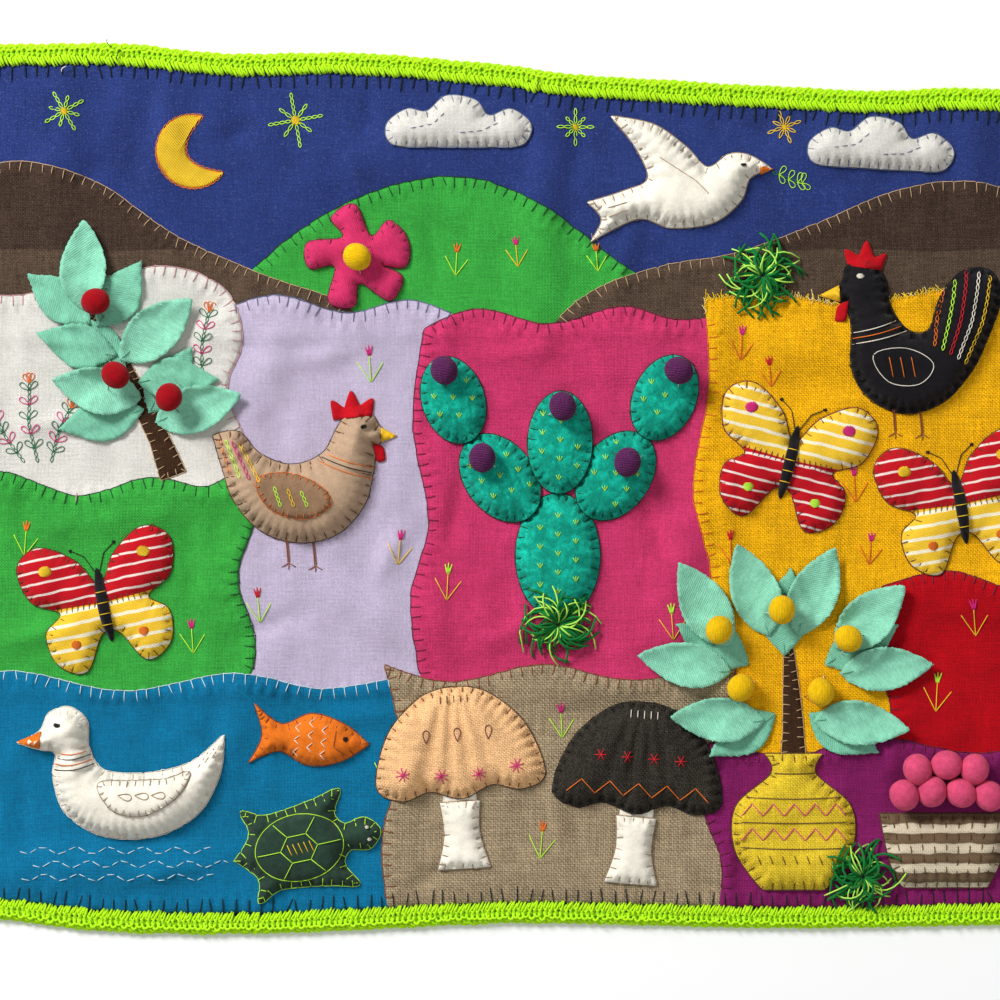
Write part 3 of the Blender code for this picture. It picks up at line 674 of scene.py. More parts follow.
def closed(name, flat, faces, low, high):
    """A mesh from a filled outline's under heights to its over heights, closed at its rim."""
    count = len(flat)
    pairs = np.vstack([faces[:, [0, 1]], faces[:, [1, 2]], faces[:, [2, 0]]])
    codes, back = pairs[:, 0] * count + pairs[:, 1], pairs[:, 1] * count + pairs[:, 0]
    rims = pairs[~np.isin(codes, back)]
    walls = [[a, b, b + count, a + count] for a, b in rims.tolist()]
    mesh = bpy.data.meshes.new(name)
    points = np.vstack([np.c_[flat, low], np.c_[flat, high]]).tolist()
    mesh.from_pydata(points, [], (faces + count).tolist() + faces[:, ::-1].tolist() + walls)
    mesh.validate()
    return mesh


class Bundle:
    """Threads or yarns of one colour, gathered as one mesh."""

    def __init__(self):
        self.points, self.faces, self.count = [], [], 0

    def add(self, path, radius, sides=4):
        path = np.asarray(path, float)
        way = np.gradient(path, axis=0)
        way /= np.maximum(np.linalg.norm(way, axis=1), 1e-9)[:, None]
        side = np.cross(way, (0.0, 0.0, 1.0))
        size = np.linalg.norm(side, axis=1)
        side[size < 0.05] = (1.0, 0.0, 0.0)
        side /= np.linalg.norm(side, axis=1)[:, None]
        up = np.cross(side, way)
        turns = 2 * math.pi * (np.arange(sides) + 0.5) / sides
        ring = side[:, None] * np.cos(turns)[:, None] + up[:, None] * np.sin(turns)[:, None]
        thick = np.broadcast_to(np.asarray(radius, float), (len(path),))[:, None, None]
        self.points.append((path[:, None] + ring * thick).reshape(-1, 3))
        first = self.count
        for k in range(len(path) - 1):
            a, b = first + k * sides, first + (k + 1) * sides
            self.faces += [[a + m, b + m, b + (m + 1) % sides, a + (m + 1) % sides] for m in range(sides)]
        last = first + (len(path) - 1) * sides
        self.faces.append([first + m for m in range(sides)])
        self.faces.append([last + m for m in range(sides)][::-1])
        self.count += len(path) * sides

    def object(self, name, paint, slot=None, replaces=None):
        mesh = bpy.data.meshes.new(name)
        mesh.from_pydata(np.vstack(self.points).tolist(), [], self.faces)
        return show(name, mesh, paint, slot, replaces)


def thread(colour, line, above, radius=THREAD):
    """A thread along a line of places, some way above what lies there."""
    SEWING[colour].add(np.c_[line, surface(*line.T) + above], radius)


SEWING = defaultdict(Bundle)
RNG = np.random.default_rng(71)


def stitch(colour, a, b, radius=THREAD, count=None, dip=0.0004, arch=0.00012):
    """One straight stitch: over the cloth between its ends, and into it there."""
    count = count or max(4, min(14, int(math.hypot(b[0] - a[0], b[1] - a[1]) / 0.0012) + 2))
    share = np.linspace(0, 1, count)
    x, y = a[0] + (b[0] - a[0]) * share, a[1] + (b[1] - a[1]) * share
    z = surface(x, y)
    z = np.maximum(z, np.minimum(np.roll(z, 1), np.roll(z, -1)))
    z = z + THREAD * 0.85 + arch * np.sin(math.pi * share)
    z[[0, -1]] -= dip
    SEWING[colour].add(np.c_[x, y, z], radius)


def running(colour, line, long=0.0026, gap=0.0016, radius=THREAD):
    """Running stitches along an open line."""
    line, gone = walked(line)
    start = 0.0
    while start + long * 0.6 < gone[-1]:
        end = min(gone[-1], start + long * RNG.uniform(0.85, 1.15))
        stitch(colour, *between([start, end], gone, line), radius)
        start = end + gap


def laid_thread(colour, line, radius=THREAD, count=24):
    """One long thread laid along an open line, into the cloth at its ends."""
    line = dense(line, count)
    z = surface(*line.T) + radius * 0.8
    z[[0, -1]] -= 0.0005
    SEWING[colour].add(np.c_[line, z], radius)


def chain(colour, line, link=0.003, radius=THREAD * 0.9):
    """Chain stitches along an open line."""
    line, gone = walked(line)
    count = max(1, round(gone[-1] / link))
    share = np.linspace(0, 1, 6)[:, None]
    for k in range(count):
        a, b = between(np.array([k, k + 1.12]) * gone[-1] / count, gone, line)
        way = (b - a) / max(np.linalg.norm(b - a), 1e-9)
        out = 0.00062 * np.sin(math.pi * share) ** 0.8 * (-way[1], way[0])
        for hand in (1, -1):
            thread(colour, a + (b - a) * share + hand * out, radius, radius)


def satin(colour, outline, degrees, step=0.00042, radius=THREAD, arch=0.0004):
    """Close parallel stitches that fill a convex or crescent outline."""
    c, s = heading(degrees)
    turned = np.asarray(outline) @ np.array([[c, -s], [s, c]])
    for level in np.arange(turned[:, 1].min() + step / 2, turned[:, 1].max(), step):
        hits = []
        for (ax, ay), (bx, by) in zip(turned, np.roll(turned, -1, axis=0)):
            if (ay > level) != (by > level):
                hits.append(ax + (level - ay) / (by - ay) * (bx - ax))
        hits.sort()
        for a, b in zip(hits[::2], hits[1::2]):
            if b - a > 0.0006:
                ends = np.array([[a, level], [b, level]]) @ np.array([[c, s], [-s, c]])
                stitch(colour, ends[0], ends[1], radius, arch=arch)


def blanket(colour, outline, pitch=0.0052, leg=0.0042, seen=lambda x, y: True, radius=THREAD, out=0.0003):
    """Blanket stitches round an outline: legs into the piece, and a thread along its rim."""
    if polygon_area(outline) < 0:
        outline = outline[::-1]
    spots = resampled(outline, pitch)
    spots = spots + RNG.normal(0, 0.00022, spots.shape)
    way = np.roll(spots, -1, axis=0) - np.roll(spots, 1, axis=0)
    way /= np.linalg.norm(way, axis=1)[:, None]
    inward = np.c_[-way[:, 1], way[:, 0]]
    shown = [seen(*p) for p in spots + inward * 0.0022]
    roots = spots - inward * out
    ring = resampled(outline, pitch / 4)
    nearest = [int(np.argmin(np.linalg.norm(ring - p, axis=1))) for p in spots]
    for k in np.flatnonzero(shown):
        n = (k + 1) % len(spots)
        c, s = heading(math.degrees(RNG.normal(0, 0.13)))
        tip = spots[k] + (inward[k] @ np.array([[c, s], [-s, c]])) * leg * RNG.uniform(0.82, 1.14)
        stitch(colour, roots[k], tip, radius, count=5, dip=0.0003)
        first, last = nearest[k], nearest[n] + (len(ring) if nearest[n] < nearest[k] else 0)
        if shown[n] and last - first <= 12:
            middle = ring[np.arange(first + 1, last) % len(ring)] - inward[k] * out
            thread(colour, np.vstack([roots[k], middle, roots[n]]), radius * 0.9, radius)


# Materials

PAINT = {}


class Paint:
    """A material's nodes, added by name and wired as they are made."""

    def __init__(self, name, roughness=0.92, sheen=0.06, specular=0.1):
        self.material = bpy.data.materials.new(name)
        self.material.use_nodes = True
        self.tree = self.material.node_tree
        self.shader = self.tree.nodes["Principled BSDF"]
        for key, value in (("Roughness", roughness), ("Sheen Weight", sheen), ("Sheen Roughness", 0.5),
                           ("Specular IOR Level", specular)):
            self.shader.inputs[key].default_value = value
        self.where = self.tree.nodes.new("ShaderNodeTexCoord").outputs["Object"]
        PAINT[name] = self.material

    def node(self, kind, inputs, **settings):
        made = self.tree.nodes.new("ShaderNode" + kind)
        for key, value in settings.items():
            setattr(made, key, value)
        for key, value in inputs.items():
            if isinstance(value, bpy.types.NodeSocket):
                self.tree.links.new(value, made.inputs[key])
            else:
                made.inputs[key].default_value = value
        return made

    def math(self, operation, a, b=0.0, clamp=False):
        return self.node("Math", {0: a, 1: b}, operation=operation, use_clamp=clamp).outputs[0]

    def times(self, first, *others):
        for other in others:
            first = self.math("MULTIPLY", first, other)
        return first

    def plus(self, first, *others):
        for other in others:
            first = self.math("ADD", first, other)
        return first

    def wave(self, value, pitch):
        """Rounded ridges, one each pitch."""
        return self.math("ABSOLUTE", self.math("SINE", self.times(value, math.pi / pitch)))

    def blend(self, factor, a, b, kind="MIX"):
        a, b = ((*v, 1) if isinstance(v, tuple) and len(v) == 3 else v for v in (a, b))
        return self.node("Mix", {0: factor, 6: a, 7: b}, data_type="RGBA", blend_type=kind).outputs[2]

    def choose(self, factor, a, b):
        return self.node("Mix", {0: factor, 2: a, 3: b}, data_type="FLOAT").outputs[0]

    def tint(self, base, light):
        """A colour made lighter and darker."""
        grey = self.node("CombineColor", {0: light, 1: light, 2: light}).outputs[0]
        return self.blend(1.0, base, grey, "MULTIPLY")

    def noise(self, scale, detail=3.0, rough=0.55, stretch=None, twist=0.0):
        where = self.where
        if stretch:
            where = self.node("Mapping", {"Vector": where, "Scale": stretch}).outputs[0]
        return self.node("TexNoise", {"Vector": where, "Scale": scale, "Detail": detail, "Roughness": rough,
                                      "Distortion": twist}).outputs[0]

    def range(self, value, low, high, to_low=0.0, to_high=1.0):
        return self.node("MapRange", {"Value": value, "From Min": low, "From Max": high, "To Min": to_low,
                                      "To Max": to_high}).outputs[0]

    def spread(self, noise, amount):
        """1 give or take an amount, as a noise varies."""
        return self.range(noise, 0.3, 0.7, 1 - amount, 1 + amount)

    def axes(self):
        return self.node("SeparateXYZ", {0: self.where}).outputs

    def weave(self, pitch):
        """A plain weave: its height, and 1 where the upright thread is on top."""
        drift = self.node("TexNoise", {"Vector": self.where, "Scale": 60.0, "Detail": 1.0}).outputs[1]
        off = self.node("VectorMath", {0: drift, 1: (pitch * 1.5,) * 3}, operation="MULTIPLY").outputs[0]
        moved = self.node("VectorMath", {0: self.where, 1: off}, operation="ADD").outputs[0]
        x, y = (self.times(v, 1 / pitch) for v in self.node("SeparateXYZ", {0: moved}).outputs[:2])
        cells = self.plus(self.math("FLOOR", x), self.math("FLOOR", y))
        over = self.times(self.math("FRACT", self.times(cells, 0.5)), 2.0)
        return self.choose(over, self.wave(y, 1), self.wave(x, 1)), over

    def stripes(self, level, colour, stripe, pitch, share):
        uneven = self.plus(level, self.times(self.noise(120.0, 1.0), pitch * 0.25))
        phase = self.math("FRACT", self.times(uneven, 1 / pitch))
        edge = self.times(self.range(phase, share, share + 0.06), self.range(phase, 0.96, 1.0, 1.0, 0.4))
        return self.blend(edge, stripe, colour)

    def finish(self, colour, height, strength=0.6, distance=0.00025):
        relief = self.node("Bump", {"Height": height, "Strength": strength, "Distance": distance})
        self.tree.links.new(colour, self.shader.inputs["Base Color"])
        self.tree.links.new(relief.outputs[0], self.shader.inputs["Normal"])


def woven(name, colour, pitch, gap=0.75, slub=0.26, mottle=0.1, fleck=0.18, specks=None, distance=0.00022,
          band=None):
    """A plain-woven cloth: threads of uneven thickness and shade, painted shade in the gaps, flecks and a
    little fading.
    """
    paint = Paint(name)
    height, over = paint.weave(pitch)
    warp, weft = (paint.noise(0.9 / pitch, 2.0, 0.6, way) for way in ((1.0, 0.06, 1.0), (0.06, 1.0, 1.0)))
    shade = paint.choose(over, weft, warp)
    fine = paint.noise(1150.0, 2.0, 0.7)
    # The last factor darkens the colour where the weave is low, between the threads: painted shade.
    total = paint.times(paint.spread(shade, slub), paint.spread(paint.noise(38.0, 4.0, 0.6), mottle),
                        paint.spread(fine, fleck), paint.range(height, 0.0, 0.6, gap, 1.0))
    if band:
        wobble = paint.times(paint.noise(25.0, 2.0), 0.004)
        level = paint.plus(paint.axes()[1], wobble)
        colour = paint.blend(paint.range(level, band[0] + 0.0015, band[0] + 0.0025), band[1], colour)
    tinted = paint.tint(colour, total)
    if specks:
        dots = paint.range(paint.noise(1500.0, 1.0, 0.5), 0.6, 0.72)
        tinted = paint.blend(paint.math("MULTIPLY", dots, specks[0], clamp=True), tinted, specks[1])
    paint.finish(tinted, paint.plus(height, paint.times(shade, 0.9), paint.times(fine, 0.9)), 0.8, distance)


def felted(name, colour, mottle=0.14, grain=900.0, distance=0.00035, second=None, **shader):
    """Felt, flannel or fuzzy wool: short fibres in a mat."""
    paint = Paint(name, **shader)
    coarse = paint.noise(grain * 0.35, 4.0, 0.65, None, 0.4)
    fine = paint.noise(grain * 2.2, 4.0, 0.7)
    light = paint.times(paint.spread(coarse, mottle), paint.spread(fine, mottle * 1.4),
                        paint.spread(paint.noise(45.0, 3.0, 0.6), mottle * 0.6))
    base = paint.blend(paint.range(coarse, 0.45, 0.65), colour, second) if second else colour
    paint.finish(paint.tint(base, light), paint.plus(coarse, paint.times(fine, 0.6)), 0.75, distance)


def jersey(name, colour, pitch=0.0009, mottle=0.13, ribs=0.84, distance=0.0002):
    """Cut jersey: fine ribs along the piece with painted shade in their troughs, heathered, with a soft nap.
    """
    paint = Paint(name)
    x, y, _ = paint.axes()
    rib = paint.wave(paint.plus(x, paint.times(paint.noise(300.0, 2.0), pitch * 1.4)), pitch)
    fine = paint.noise(1500.0, 3.0, 0.7)
    # The rib factor darkens the troughs between the ribs: painted shade.
    light = paint.times(paint.spread(fine, mottle), paint.spread(paint.noise(70.0, 3.0, 0.6), mottle * 0.6),
                        paint.range(rib, 0.0, 0.5, ribs, 1.0),
                        paint.spread(paint.noise(900.0, 2.0, 0.7, (1.0, 0.35, 1.0)), mottle))
    rise = paint.plus(rib, paint.times(paint.wave(y, pitch), 0.4), fine)
    paint.finish(paint.tint(colour, light), rise, 0.7, distance)


def striped(name, *cloths, weave_pitch=0.0007):
    """A striped cloth, or two sewn together across a piece's middle.

    Each is a colour, a stripe's colour, a pitch and a share.
    """
    paint = Paint(name)
    height, _ = paint.weave(weave_pitch)
    across, level, _ = paint.axes()
    fine = paint.noise(1600.0, 3.0, 0.7)
    colour, *lower = [paint.stripes(level, *cloth) for cloth in cloths]
    if lower:
        seam = paint.math("SUBTRACT", level, paint.times(paint.math("ABSOLUTE", across), 0.05))
        colour = paint.blend(paint.range(seam, 0.0008, 0.0012), lower[0], colour)
    # The weave factor darkens the low gaps between the threads: painted shade.
    light = paint.times(paint.spread(fine, 0.12), paint.range(height, 0.0, 0.6, 0.8, 1.0))
    paint.finish(paint.tint(colour, light), paint.plus(height, fine), 0.6, 0.0002)


def yarn(name, colour, mottle=0.16, distance=0.0002, grain=2600.0, second=None, **shader):
    """Thread or yarn: twisted fibres with light and dark specks."""
    paint = Paint(name, **shader)
    fine = paint.noise(grain, 3.0, 0.7, None, 0.5)
    slow = paint.noise(140.0, 2.0)
    light = paint.times(paint.spread(fine, mottle), paint.spread(slow, mottle * 0.6))
    base = paint.blend(paint.range(slow, 0.45, 0.6), colour, second) if second else colour
    paint.finish(paint.tint(base, light), fine, 0.6, distance)


def paints():
    """Every material of the piece."""
    woven("blue_cotton", (0.021, 0.041, 0.185), 0.0006, slub=0.26, mottle=0.14, fleck=0.22,
          specks=(0.3, (0.16, 0.19, 0.42)), distance=0.0002)
    woven("brown_wool", (0.053, 0.031, 0.022), 0.0008, slub=0.42, mottle=0.1, fleck=0.3,
          specks=(0.28, (0.2, 0.14, 0.11)), band=(0.1075, (0.09, 0.058, 0.038)))
    woven("green_cotton", (0.042, 0.39, 0.052), 0.00066, slub=0.22)
    woven("lavender_cotton", (0.545, 0.47, 0.63), 0.0006, slub=0.14, mottle=0.07, fleck=0.12,
          distance=0.00018)
    woven("pink_cotton", (0.62, 0.038, 0.145), 0.00066, slub=0.22)
    woven("yellow_linen", (0.9, 0.45, 0.003), 0.00082, gap=0.66, slub=0.26, fleck=0.22, distance=0.0003)
    woven("white_cotton", (0.74, 0.715, 0.66), 0.0006, slub=0.1, mottle=0.05, fleck=0.1,
          distance=0.00018)
    woven("red_cotton", (0.47, 0.001, 0.007), 0.00066, slub=0.2)
    woven("turquoise_cotton", (0.002, 0.165, 0.33), 0.00066, slub=0.22, distance=0.00018)
    woven("linen", (0.375, 0.285, 0.175), 0.00105, gap=0.42, slub=0.34, fleck=0.22, distance=0.00034)
    woven("purple_cotton", (0.235, 0.012, 0.12), 0.0007, slub=0.24)
    woven("trunk_brown", (0.048, 0.021, 0.009), 0.0007, slub=0.3, fleck=0.3)
    felted("cream", (0.82, 0.775, 0.665), 0.08)
    felted("taupe", (0.44, 0.3, 0.195), 0.1)
    felted("taupe_dark", (0.25, 0.15, 0.085), 0.14)
    felted("black", (0.007, 0.006, 0.008), 0.3, sheen=0.12)
    felted("dark_green", (0.02, 0.046, 0.03), 0.22, sheen=0.12)
    felted("red_felt", (0.44, 0.004, 0.01), 0.16)
    felted("orange_felt", (0.74, 0.165, 0.012), 0.14)
    felted("gold_felt", (0.8, 0.48, 0.02), 0.14)
    jersey("mint", (0.24, 0.6, 0.425))
    # The mint jersey again, made darker: painted shade for the leaves that lie under the others.
    jersey("mint_deep", (0.185, 0.5, 0.345))
    felted("teal", (0.003, 0.29, 0.2), 0.22, 620.0, 0.0006, (0.006, 0.4, 0.29))
    jersey("pink", (0.59, 0.03, 0.125))
    jersey("ball_red", (0.33, 0.002, 0.007), 0.0007, 0.16, 0.72)
    jersey("ball_yellow", (0.8, 0.48, 0.003), 0.0007, 0.14, 0.78)
    felted("ball_pink", (0.64, 0.07, 0.165), 0.18, 1200.0)
    jersey("ball_purple", (0.11, 0.018, 0.096), 0.00105, 0.18, 0.34, 0.00045)
    woven("peach", (0.88, 0.52, 0.25), 0.0008, slub=0.2)
    woven("charcoal", (0.03, 0.025, 0.019), 0.00095, slub=0.55, fleck=0.4,
          specks=(0.22, (0.16, 0.14, 0.11)), distance=0.0003)
    woven("mustard", (0.74, 0.53, 0.028), 0.0008, slub=0.24)
    striped("straw", ((0.155, 0.1, 0.055), (0.64, 0.55, 0.4), 0.0088, 0.42), weave_pitch=0.0009)
    red = (0.5, 0.006, 0.014), (0.83, 0.7, 0.64), 0.0052, 0.14
    yellow = (0.86, 0.54, 0.035), (0.9, 0.83, 0.6), 0.0056, 0.22
    striped("red_stripe", red, yellow)
    striped("yellow_stripe", yellow, red)
    yarn("neon", (0.49, 0.87, 0.012), 0.15, 0.0003, 1500.0, (0.43, 0.8, 0.01), roughness=0.8)
    yarn("grass_dark", (0.006, 0.175, 0.03), 0.28, 0.0002)
    yarn("grass_lime", (0.45, 0.83, 0.11), 0.16, 0.0002)
    for name, colour in THREADS.items():
        yarn("thread_" + name, colour, 0.18, 0.00012, 3200.0, roughness=0.6, specular=0.2)


# The ground


def clamped(outline):
    """An outline's points brought in to the cloth's edge."""
    made = []
    for x, y in outline:
        x = min(max(x, edge_at(LEFT_EDGE, y) + 0.0004), edge_at(RIGHT_EDGE, y) - 0.0004)
        y = min(max(y, edge_at(BOTTOM_EDGE, x) + 0.0004), edge_at(TOP_EDGE, x) - 0.0004)
        made.append((x, y))
    return np.array(made)


def declare_sheet(outline):
    wide, tall = outline.max(axis=0) - outline.min(axis=0)
    area = min(abs(polygon_area(outline)), wide * tall)


def covered(places, rows):
    """1 where one of the patches lies well over a place, and 0 elsewhere."""
    reach = 0.004
    found = np.ones(len(places), bool)
    for dx, dy in ((reach, 0), (-reach, 0), (0, reach), (0, -reach)):
        over = np.zeros(len(places), bool)
        for row in rows:
            over |= inside(clamped(smooth(row.outline, 4)), places[:, 0] + dx, places[:, 1] + dy)
        found &= over
    return found.astype(float)


def backing():
    """The blue cloth under all the patches, which shows as the sky."""
    outline = cloth_outline()
    flat, faces = fill(outline, 0.0019, 0.005)
    high = surface(flat[:, 0], flat[:, 1])
    away, along = rim(outline, flat[:, 0], flat[:, 1])
    high -= 0.0004 * np.exp(-away / 0.0026) * (1.3 + 0.8 * np.cos(2 * math.pi * along / BORDER_PITCH))
    high = np.maximum(high - BACKING_SUNK * covered(flat, PATCHES), 0.0003)
    low = np.maximum(high - 0.0011, 0.00005)
    obj = show("backing_cloth", closed("backing_cloth", flat, faces, low, high), "blue_cotton", "ground",
               ["ground_cloth"])
    return obj, outline


def patch(number, row):
    """One patch of the ground, its hem turned under and pulled down by its stitches."""
    outline = resampled(clamped(smooth(row.outline, 10)), 0.0017)
    shake = 0.00035 * ripple(*outline.T, 40 + number, 0.011)
    out = outline - outline.mean(axis=0)
    outline = clamped(outline + shake[:, None] * out / np.linalg.norm(out, axis=1)[:, None])
    base = footing(outline, 0, 1)

    def rise(x, y):
        away, along = rim(outline, x, y)
        turn = 2 * math.pi * along / HEM_PITCH
        hem = 0.00034 * np.exp(-((away - 0.003) / 0.0022) ** 2)
        pull = -0.00042 * np.exp(-away / 0.0016) * (0.5 + 0.5 * np.cos(turn))
        crease = 0.0005 * np.maximum(0, ripple(x, y, 90 + number, 0.015) + 0.2) * np.clip(away / 0.01, 0, 1)
        uneven = 1 + 0.8 * ripple(x, y, 140 + number, 0.03)
        fade = np.exp(-((away - 0.0055) / 0.0042) ** 2)
        pucker = 0.00034 * (1 - np.cos(turn + 1.5 * uneven)) * uneven * fade
        least = 0.00012 + 0.00018 * np.clip(away / 0.004, 0, 1)
        return np.maximum(LAYER + hem + pull + crease + pucker, least)

    flat, faces = fill(outline, 0.00155, 0.0075)
    high = sample(base, *flat.T) + rise(*flat.T)
    high = np.maximum(high - PATCH_SUNK * covered(flat, PATCHES[number:]), 0.0003)
    low = np.maximum(high - 0.0004, 0.0001)
    obj = show(row.name, closed(row.name, flat, faces, low, high), row.paint, "ground")
    part, hit = lay(outline, base, rise)
    TOPMOST[part] = np.where(hit, number, TOPMOST[part])
    declare_sheet(outline)
    return outline


def sew_patches(outlines):
    """Blanket stitches along every patch edge that still shows, apart from the raw one."""
    for number, (row, outline) in enumerate(zip(PATCHES, outlines), 1):
        def seen(x, y, number=number, row=row):
            i, j = round((x - GRID_X) / CELL), round((y - GRID_Y) / CELL)
            near = min(x - edge_at(LEFT_EDGE, y), edge_at(RIGHT_EDGE, y) - x,
                       y - edge_at(BOTTOM_EDGE, x), edge_at(TOP_EDGE, x) - y)
            raw = row.name == "patch_yellow" and y > RAW_ABOVE - 0.004
            top = TOPMOST[min(max(j, 0), ROWS - 1), min(max(i, 0), COLUMNS - 1)]
            return top == number and near > 0.0045 and not raw

        blanket(row.thread, outline, 0.005, 0.0042, seen)


def sew_border(outline):
    """Dark blanket stitches all round, inside the crochet."""
    inner = resampled(outline, 0.004)
    blanket("dark", inner, BORDER_PITCH, 0.0068, radius=THREAD * 1.45, out=0.0002)
    for x, y, degrees, long, colour in LOOSE_ENDS:
        c, s = heading(degrees)
        share = np.linspace(0, 1, 6)
        line = np.c_[x + c * long * share - 0.0009 * np.sin(3 * share), y + s * long * share]
        z = lift(line[:, 0], line[:, 1]) + 0.0046 + 0.0006 * np.sin(math.pi * share)
        SEWING[colour].add(np.c_[line, z], THREAD * 1.1)


def frayed_edge(outline):
    """Loose yarns along the yellow patch's raw top edge."""
    ring = resampled(outline, 0.0007)
    for x, y in ring[(ring[:, 1] > RAW_ABOVE) & (ring[:, 0] < 0.285)]:
        turn = math.radians(RNG.uniform(30, 150))
        long = RNG.uniform(0.0008, 0.003) * (1.7 if RNG.random() < 0.15 else 1.0)
        bend = RNG.uniform(-0.0012, 0.0012)
        share = np.linspace(-0.4, 1, 5)
        px = x + long * math.cos(turn) * share + bend * share**2
        py = y + long * math.sin(turn) * share
        z = np.maximum(surface(px, py), surface(px, py - 0.001) - 0.0003) + 0.0003
        SEWING["straw" if RNG.random() < 0.3 else "gold"].add(np.c_[px, py, z], 0.00019)


# Crochet


def crochet(name, line, out, node):
    """A crocheted strip: slanted stitches over a filler, a row of loops, and a chain along its edge."""
    line, gone = walked(line)
    total = gone[-1]
    count = round(total / CROCHET_PITCH)
    pitch = total / count
    rng = np.random.default_rng(len(name) * 7 + count)
    yarns = Bundle()

    def place(along, across, up):
        x, y = between(np.clip(along, 0, total), gone, line).T
        x, y = x + out[0] * (SEAM + across), y + out[1] * (SEAM + across)
        return np.c_[x, y, lift(x, y) + up]

    def strand(along, across, up, radius, sides=5):
        yarns.add(place(np.clip(along, 0.0004, total - 0.0004), across, up), radius, sides)

    core = np.linspace(0.0006, total - 0.0006, int(total / 0.003))
    for across, up, radius in ((0.0016, 0.0015, 0.0013), (0.0042, 0.0015, 0.0014), (0.0066, 0.0014, 0.0013)):
        strand(core, across + 0.0003 * np.sin(core * 900 + across * 3000), up, radius, 6)
    share = np.linspace(0, 1, 5)
    arc = np.sin(math.pi * share)
    for k in range(2 * count):
        spot = (k + 0.5) * pitch / 2 + rng.normal(0, 0.00022)
        reach = rng.normal(0, 0.00032)
        for start, slant, near, far, radius in ((-0.0006, 0.0029, -0.0012, 0.0036, 0.00062),
                                                (0.0005, 0.0022, -0.0008, 0.0046, 0.00056),
                                                (0.0, -0.002, 0.0016, 0.0048, 0.00056)):
            along = spot + start + slant * (0.5 - share) * rng.uniform(0.7, 1.3)
            up = 0.0028 + 0.0011 * arc - 0.0005 * share + rng.normal(0, 0.00015)
            thick = radius * rng.uniform(0.85, 1.15) * (1.05 - 0.3 * (1 - arc))
            strand(along, near + reach + (far - near) * share, up, thick)
    angle = math.pi * np.linspace(0, 1, 7)
    for k in range(count):
        spot = (k + 0.5) * pitch + rng.normal(0, 0.0003)
        for shift, tall, radius in ((0.0, 0.0034, 0.00066), (pitch * 0.5, 0.0026, 0.00058)):
            tall = tall + rng.normal(0, 0.00025)
            strand(spot + shift - pitch * 0.34 * np.cos(angle), 0.0034 + tall * np.sin(angle) ** 0.8,
                   0.0026 + 0.0012 * np.sin(angle), radius)
    braid = np.linspace(0.0004, total - 0.0004, int(total / 0.00095))
    soft = 0.00035 * ripple(braid, braid * 0, 11 + len(name), 0.02)
    for phase, middle, swing, up, radius in ((0.0, 0.007, 0.00085, 0.0022, 0.00072),
                                             (math.pi, 0.007, 0.00085, 0.0022, 0.00072),
                                             (1.2, 0.0082, 0.0003, 0.0016, 0.00066)):
        turn = 2 * math.pi * braid / pitch + phase
        strand(braid, middle + soft + swing * np.sin(turn), up + 0.00045 * np.cos(turn),
               radius * (1 + 0.1 * np.sin(3.1 * turn)))
    ends = np.array([0.0, 1.0])
    for _ in range(int(total / CROCHET_HAIR_EVERY)):
        spot, across = rng.uniform(0.0005, total - 0.0005), rng.uniform(0.0, 0.0088) ** 0.85 * 0.0088**0.15
        turn, long = rng.uniform(0, 2 * math.pi), rng.uniform(0.0009, 0.0024)
        hair = place(spot + long * math.cos(turn) * ends, across + long * math.sin(turn) * ends,
                     0.0029 + 0.001 * np.sin(2.4 * ends))
        yarns.add(hair, 0.00008, 3)
    return yarns.object(name, "neon", "edging", [node])


def edgings():
    overhang = SEAM + EDGING_WIDE
    made = []
    steps = 240, 160
    for name, t, out in (("top", 1, (0, 1)), ("bottom", 0, (0, -1))):
        along = [cloth_point(k / steps[0], t) for k in range(steps[0] + 1)]
        first, last = along[0], along[-1]
        along = [(first[0] - overhang, first[1])] + along + [(last[0] + overhang, last[1])]
        made.append(crochet("crochet_" + name, along, out, "edging_" + name))
    for name, s, out in (("left", 0, (-1, 0)), ("right", 1, (1, 0))):
        along = [cloth_point(s, k / steps[1]) for k in range(steps[1] + 1)]
        made.append(crochet("crochet_" + name, along, out, "edging_" + name))
    return made


# Stuffed pieces


def stuffed(name, outline, high, soft, paint, slot=None, replaces=None, cell=0.0016, edge=0.0011,
            pitch=0.005, widen=1, soften=2, extra=None, place=None, fill_share=0.7, seam=0.0019,
            lumps=0.00036):
    """A stuffed piece: a flat seam round its rim, and a back that swells up between the stitches."""
    outline = resampled(outline, 0.0013)
    if polygon_area(outline) < 0:
        outline = outline[::-1]
    round_it = np.linalg.norm(np.roll(outline, -1, axis=0) - outline, axis=1).sum()
    pitch = round_it / max(6, round(round_it / pitch))
    base = footing(outline, widen, soften)
    seed = sum(map(ord, name))

    def rise(x, y):
        away, along = rim(outline, x, y)
        held = 0.5 + 0.5 * np.cos(2 * math.pi * along / pitch)
        foot = seam * (0.55 + 0.95 * held)
        share = np.clip((away - foot) / (soft - 0.4 * seam), 0, 1)
        dome = edge + (high - edge) * np.sqrt(np.maximum(0, 1 - (1 - share) ** 2)) ** 0.92
        pinch = 0.00035 * np.exp(-((away - seam) / 0.0014) ** 2) * held
        swell = lumps * ripple(x, y, seed, 0.011) * np.clip(away / 0.005, 0, 1)
        return np.maximum(dome - pinch + swell + (extra(x, y) if extra else 0.0), 0.0004)

    flat, faces = fill(outline, cell)
    low = sample(base, *flat.T) + LOOSE
    obj = show(name, closed(name, flat, faces, low, low + rise(*flat.T)), paint, slot, replaces)
    lay(outline, base, rise, LOOSE, highest=True)
    if place:
        settle(obj, *place)
    return outline


def settle(obj, x, y, degrees):
    """Moves an object's origin to its piece's own middle and turn, so its weave runs with the piece."""
    where = Matrix.Translation((x, y, 0)) @ Matrix.Rotation(math.radians(degrees), 4, "Z")
    obj.data.transform(where.inverted())
    obj.matrix_world = where


